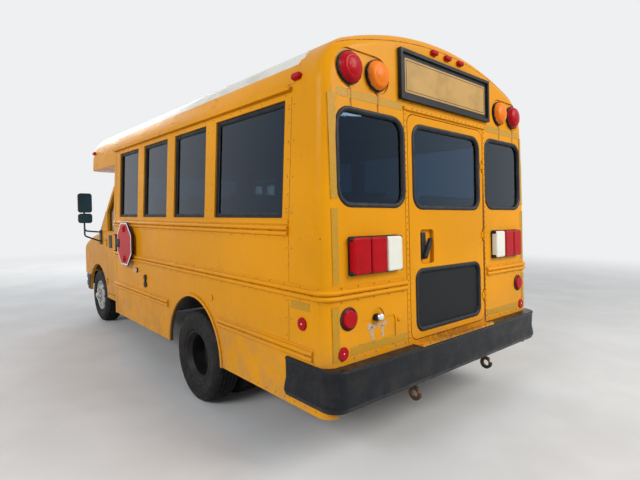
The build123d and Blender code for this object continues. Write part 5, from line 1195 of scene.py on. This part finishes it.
def warning_lenses():
    """Ribbed domes of the warning lamps, and the domes of the stop lamps."""
    shapes = {"red_lens": Shape(), "amber_lens": Shape()}
    dome = (
        (0.0, 0.052), (0.018, 0.0512), (0.036, 0.0482), (0.054, 0.0425), (0.070, 0.0335), (0.080, 0.0235),
        (0.0862, 0.013), (0.0875, 0.009), (0.0875, 0.002),
    )
    for key, place, way in warning_lamps():
        shapes[key].lathe(dome, place, way, 96, notch=ripple)
    stop = ((0.0, 0.0185), (0.016, 0.018), (0.032, 0.0165), (0.045, 0.0135), (0.0525, 0.009), (0.0550, 0.004))
    for side in BOTH:
        shapes["red_lens"].lathe(stop, rear_spot(side * STOP_LAMP[0], STOP_LAMP[1]), REAR_NORMAL, 48)
    for key, shape in shapes.items():
        shape.done("warning_domes_" + key.split("_")[0], key, key, smooth=28)


def bake(thing):
    """Applies every modifier of an object."""
    graph = bpy.context.evaluated_depsgraph_get()
    made = bpy.data.meshes.new_from_object(thing.evaluated_get(graph))
    thing.modifiers.clear()
    thing.data = made


def swollen(name, size, voxel, inset, cap):
    """Padded form: starts a little small, swells under cloth pressure, and is capped and smoothed."""
    form = bmesh.new()
    bmesh.ops.create_cube(form, size=1.0)
    for vertex in form.verts:
        vertex.co = Vector(vertex.co[i] * (size[i] - 2 * inset) for i in range(3))
    offset = min(size) * 0.26
    bmesh.ops.bevel(form, geom=form.edges[:], offset=offset, segments=3, affect="EDGES", profile=0.5)
    data = bpy.data.meshes.new(name)
    form.to_mesh(data)
    form.free()
    pad = placed(name, data)
    remesh = pad.modifiers.new("remesh", "REMESH")
    remesh.mode = "VOXEL"
    remesh.voxel_size = voxel
    bake(pad)
    swell(pad, [side / 2 for side in size], cap)
    smooth = pad.modifiers.new("smooth", "SUBSURF")
    smooth.levels = smooth.render_levels = 1
    bake(pad)
    made = pad.data
    bpy.data.objects.remove(pad)
    return made


def swell(pad, half, cap):
    """Cloth under pressure for 20 frames; no point moves farther than the cap or leaves the pad's box."""
    start = [vertex.co.copy() for vertex in pad.data.vertices]
    cloth = pad.modifiers.new("cloth", "CLOTH")
    cloth.settings.use_pressure = True
    cloth.settings.uniform_pressure_force = 4.0
    cloth.settings.effector_weights.gravity = 0.0
    cloth.settings.quality = 5
    cloth.collision_settings.use_self_collision = False
    for frame_number in range(1, 21):
        scene.frame_set(frame_number)
    bake(pad)
    for vertex, first in zip(pad.data.vertices, start):
        step = vertex.co - first
        if step.length > cap:
            step *= cap / step.length
        place = first + step
        vertex.co = Vector(max(-half[i], min(half[i], place[i])) for i in range(3))
    scene.frame_set(1)


def seam_round(shape, pad, up, level, places, radius=0.0034):
    """Welted seam that runs round a pad at one level of its up direction, laid on its surface."""
    tree = BVHTree.FromPolygons([v.co.copy() for v in pad.vertices], [list(f.vertices) for f in pad.polygons])
    across = Vector((up.z, up.x, up.y))
    along = up.cross(across)
    reach_a, reach_b = (max(abs(v.co.dot(way)) for v in pad.vertices) - 0.10 for way in (across, along))
    loop = []
    for u, v in turns(72):
        stretch = (abs(u) ** 6 + abs(v) ** 6) ** (-1 / 6)
        target = (across * u * reach_a + along * v * reach_b) * stretch + up * level
        way = across * u + along * v
        place, normal, _, _ = tree.ray_cast(target + way * 0.6, -way)
        if place:
            loop.append(place + normal * radius * 0.25)
    for place in places:
        shape.loop([point + place for point in loop], up, radius)


def repeat(name, pad, places, finish_name):
    """One mesh with a pad at each place."""
    points = []
    faces = []
    for place in places:
        start = len(points)
        points += [vertex.co + place for vertex in pad.vertices]
        faces += [[start + index for index in face.vertices] for face in pad.polygons]
    data = bpy.data.meshes.new(name)
    data.from_pydata(points, [], faces)
    return add_piece(name, data, finish_name, smooth=80)


def seat_pieces(names, finish_name, back, backs, back_level, cushion, cushions, cushion_level, node_name):
    """Padded backs and cushions with their seams, which stand for the node's plain seats."""
    seams = Shape()
    seam_round(seams, back, Y_AXIS, back_level, backs)
    seam_round(seams, cushion, UP, cushion_level, cushions)
    pads = [repeat(names[0], back, backs, finish_name), repeat(names[1], cushion, cushions, finish_name)]
    for piece in (*pads, seams.done(names[2], finish_name, finish_name, smooth=60)):
        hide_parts(node_name)


def benches():
    backs = [Vector((side * 0.669, y + 0.030, 1.390)) for side in BOTH for y in (2.500, 1.810, 1.120, 0.430)]
    seat_pieces(
        ("bench_backs", "bench_cushions", "bench_seams"), "bench_vinyl",
        swollen("bench_back", (0.968, 0.080, 0.640), 0.022, 0.009, 0.022), backs, 0.012,
        swollen("bench_cushion", (0.968, 0.420, 0.120), 0.022, 0.011, 0.024),
        [Vector((place.x, place.y - 0.240, 1.130)) for place in backs], 0.020, "passenger_seats",
    )
    legs = Shape()
    for place in backs:
        for y in (place.y - 0.380, place.y - 0.050):
            foot = Vector((math.copysign(0.245, place.x), y, FLOOR_Z))
            legs.tube([foot + UP * 0.004, foot + UP * 0.332], 0.016, 14)
            legs.lathe(((0.0, 0.006), (0.040, 0.006), (0.042, 0.004), (0.042, 0.0005)), foot, UP, 20)
    stands = legs.done("bench_legs", "black_paint", "black_paint", smooth=40)
    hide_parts("passenger_seats")


def driver_seat():
    seat_pieces(
        ("driver_seat_back", "driver_seat_cushion", "driver_seat_seams"), "seat_cloth",
        swollen("driver_back", (0.480, 0.110, 0.700), 0.016, 0.013, 0.024),
        [Vector((0.480, -0.770, 1.420))], -0.020,
        swollen("driver_cushion", (0.500, 0.480, 0.120), 0.016, 0.013, 0.024),
        [Vector((0.480, -1.020, 1.110))], 0.022, "driver_seat",
    )
    base = Shape()
    base.block((0.330, -1.180, 0.741), (0.630, -0.860, 1.048), 0.02)
    for z in spread(0.80, 1.0, 0.05):
        base.block((0.324, -1.186, z - 0.012), (0.636, -0.854, z + 0.012), 0.008)
    box = base.done("driver_seat_base", "black_plastic", "black_plastic", smooth=40)
    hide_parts("driver_seat")


def rust_runs():
    """Water marks below the warning lamps, over paint and tape."""
    shape = Shape()
    random.seed(5)
    for side in BOTH:
        for x, low, width in (
            (RED_LAMP_X - 0.006, 2.128, 0.011), (RED_LAMP_X + 0.016, 2.190, 0.006),
            (AMBER_LAMP_X, 2.132, 0.013), (AMBER_LAMP_X - 0.018, 2.200, 0.005),
        ):
            spots = []
            drift = 0.0
            for z in spread(low, LAMP_Z - 0.082, 0.018):
                drift = wobble(drift, 0.0012)
                spots.append(on_rear(side * x + drift, z, 0.0016))
            spots = [spot for spot in spots if spot]
            rings = []
            for i, (place, normal) in enumerate(spots):
                across = X_AXIS * (width / 2 * (0.25 + 0.75 * i / (len(spots) - 1)))
                rise = normal * 0.0005
                rings.append([place - across, place + rise, place + across, place - rise])
            shape.skin(rings, caps=True)
    shape.done("rust_runs", "rust_run", "body_yellow")


def bumper_ends():
    """Black plastic between the front bumper and the wheel arches, thin at its edges."""
    shape = Shape()
    rows = (0.412, 0.418, 0.47, 0.52, 0.57, 0.61, 0.634, 0.640)
    front_y = -2.714
    for side in BOTH:
        grid = []
        for z in rows:
            arch_y = FRONT_AXLE_Y - math.sqrt(FRONT_ARCH ** 2 - (z - WHEEL_Z) ** 2)
            row = []
            for i in range(9):
                place, normal = on_side(side, front_y + (arch_y - front_y) * i / 8, z, skin=cab_skin)
                edge = z in (rows[0], rows[-1]) or i in (0, 8)
                row.append(place + normal * (0.0008 if edge else 0.0115))
            grid.append(row)
        shape.skin(grid, closed=False)
    shape.done("bumper_ends", "black_plastic", "black_plastic", smooth=40)


def side_lamp_trim():
    """Chrome rim and lens of the oval lamp on the left side."""
    plane = level_plane((HALF_WIDTH + 0.0163, 0.051, 0.961), Y_AXIS, X_AXIS)
    rim = Shape()
    profile = ((-0.004, 0.0), (-0.003, 0.004), (0.001, 0.005), (0.004, 0.0))
    rim.band(plane, rounded((0, 0), 0.034, 0.019, 0.019), profile)
    rim.done("side_lamp_rim", "chrome", "bare_steel", smooth=40)
    lens = Shape()
    lens.plate(plane, 0.029, 0.014, 0.014, 0.0002, 0.006, 0.003)
    lens.done("side_lamp_lens", "amber_lens", "amber_lens", smooth=40)


for build in (
    rear_gaskets, jamb_strips, rear_rivets, side_rivets, side_seams, roof_details, rear_cap_seam, tapes,
    lamp_bezels, tail_lamp_details, signs, stop_sign, door_lever, plate_residue, rear_small_parts,
    side_window_seals, rust_runs, bumper_ends, side_lamp_trim, tyres, wheel_details, mirror_glasses,
    door_screen, stop_arm_plate, cab_plate, wipers, warning_lenses, benches, driver_seat,
):
    build()


def seen_directly(tree):
    """One for camera, glossy and transmission rays, nothing for the rest."""
    path = tree.nodes.new("ShaderNodeLightPath")
    seen = path.outputs["Is Camera Ray"]
    for name in ("Is Glossy Ray", "Is Transmission Ray"):
        node = tree.nodes.new("ShaderNodeMath")
        node.operation = "MAXIMUM"
        tree.links.new(seen, node.inputs[0])
        tree.links.new(path.outputs[name], node.inputs[1])
        seen = node.outputs[0]
    return seen


def blend_shaders(tree, factor, first, second, output):
    node = tree.nodes.new("ShaderNodeMixShader")
    for socket, value in zip(node.inputs, (factor, first.outputs[0], second.outputs[0])):
        tree.links.new(value, socket)
    tree.links.new(node.outputs[0], output.inputs["Surface"])


def floor_material():
    """Pale matte floor that fades to the backdrop for the eye and for reflections."""
    f = Finish("stage_floor")
    x, y, _ = f.axes()
    radius = f.math("SQRT", f.math("ADD", f.product(x, x), f.product(y, y)))
    base = f.mix(f.patches(1.2, 5, 0.35, 0.7), (0.60, 0.60, 0.59), (0.66, 0.66, 0.65))
    f.set(base_color=base, roughness=0.9)
    glow = f.add("Emission", color=BACKGROUND)
    faded = f.product(f.ramp(radius, 5.5, 16.0), seen_directly(f.tree))
    blend_shaders(f.tree, faded, f.shader, glow, f.output)
    return f.material


def make_stage():
    """Plain pale floor with nothing else about it."""
    data = bpy.data.meshes.new("stage_floor")
    points = [(60.0 * c, 60.0 * s, 0) for c, s in turns(96)]
    data.from_pydata(points, [], [tuple(range(len(points)))])
    data.materials.append(floor_material())
    floor = placed("stage_floor", data)


def make_world():
    """Pale backdrop for the eye, softer light for the surfaces."""
    world = bpy.data.worlds.new("studio")
    world.use_nodes = True
    tree = world.node_tree
    tree.nodes.clear()
    backdrop = tree.nodes.new("ShaderNodeBackground")
    backdrop.inputs["Color"].default_value = (*BACKGROUND, 1.0)
    light = tree.nodes.new("ShaderNodeBackground")
    light.inputs["Color"].default_value = (0.86, 0.92, 1.0, 1.0)
    light.inputs["Strength"].default_value = 0.38
    blend_shaders(tree, seen_directly(tree), light, backdrop, tree.nodes.new("ShaderNodeOutputWorld"))
    scene.world = world


def area_light(name, place, target, size, power, colour):
    data = bpy.data.lights.new(name, "AREA")
    data.shape = "RECTANGLE"
    data.size, data.size_y = size
    data.energy = power
    data.color = colour
    aim(placed(name, data), place, Vector(target) - Vector(place))


make_stage()
make_world()
area_light("key", (-4.0, 11.0, 7.5), (0.0, 1.5, 1.2), (7.0, 5.0), 1180.0, (1.0, 0.97, 0.93))
area_light("side", (11.0, 3.0, 6.5), (0.6, 0.5, 1.2), (6.0, 3.0), 780.0, (0.98, 0.98, 1.0))
area_light("front", (-2.0, -12.0, 6.0), (0.0, -2.0, 1.2), (8.0, 4.0), 700.0, (0.96, 0.98, 1.0))
scene.view_settings.view_transform = "Standard"

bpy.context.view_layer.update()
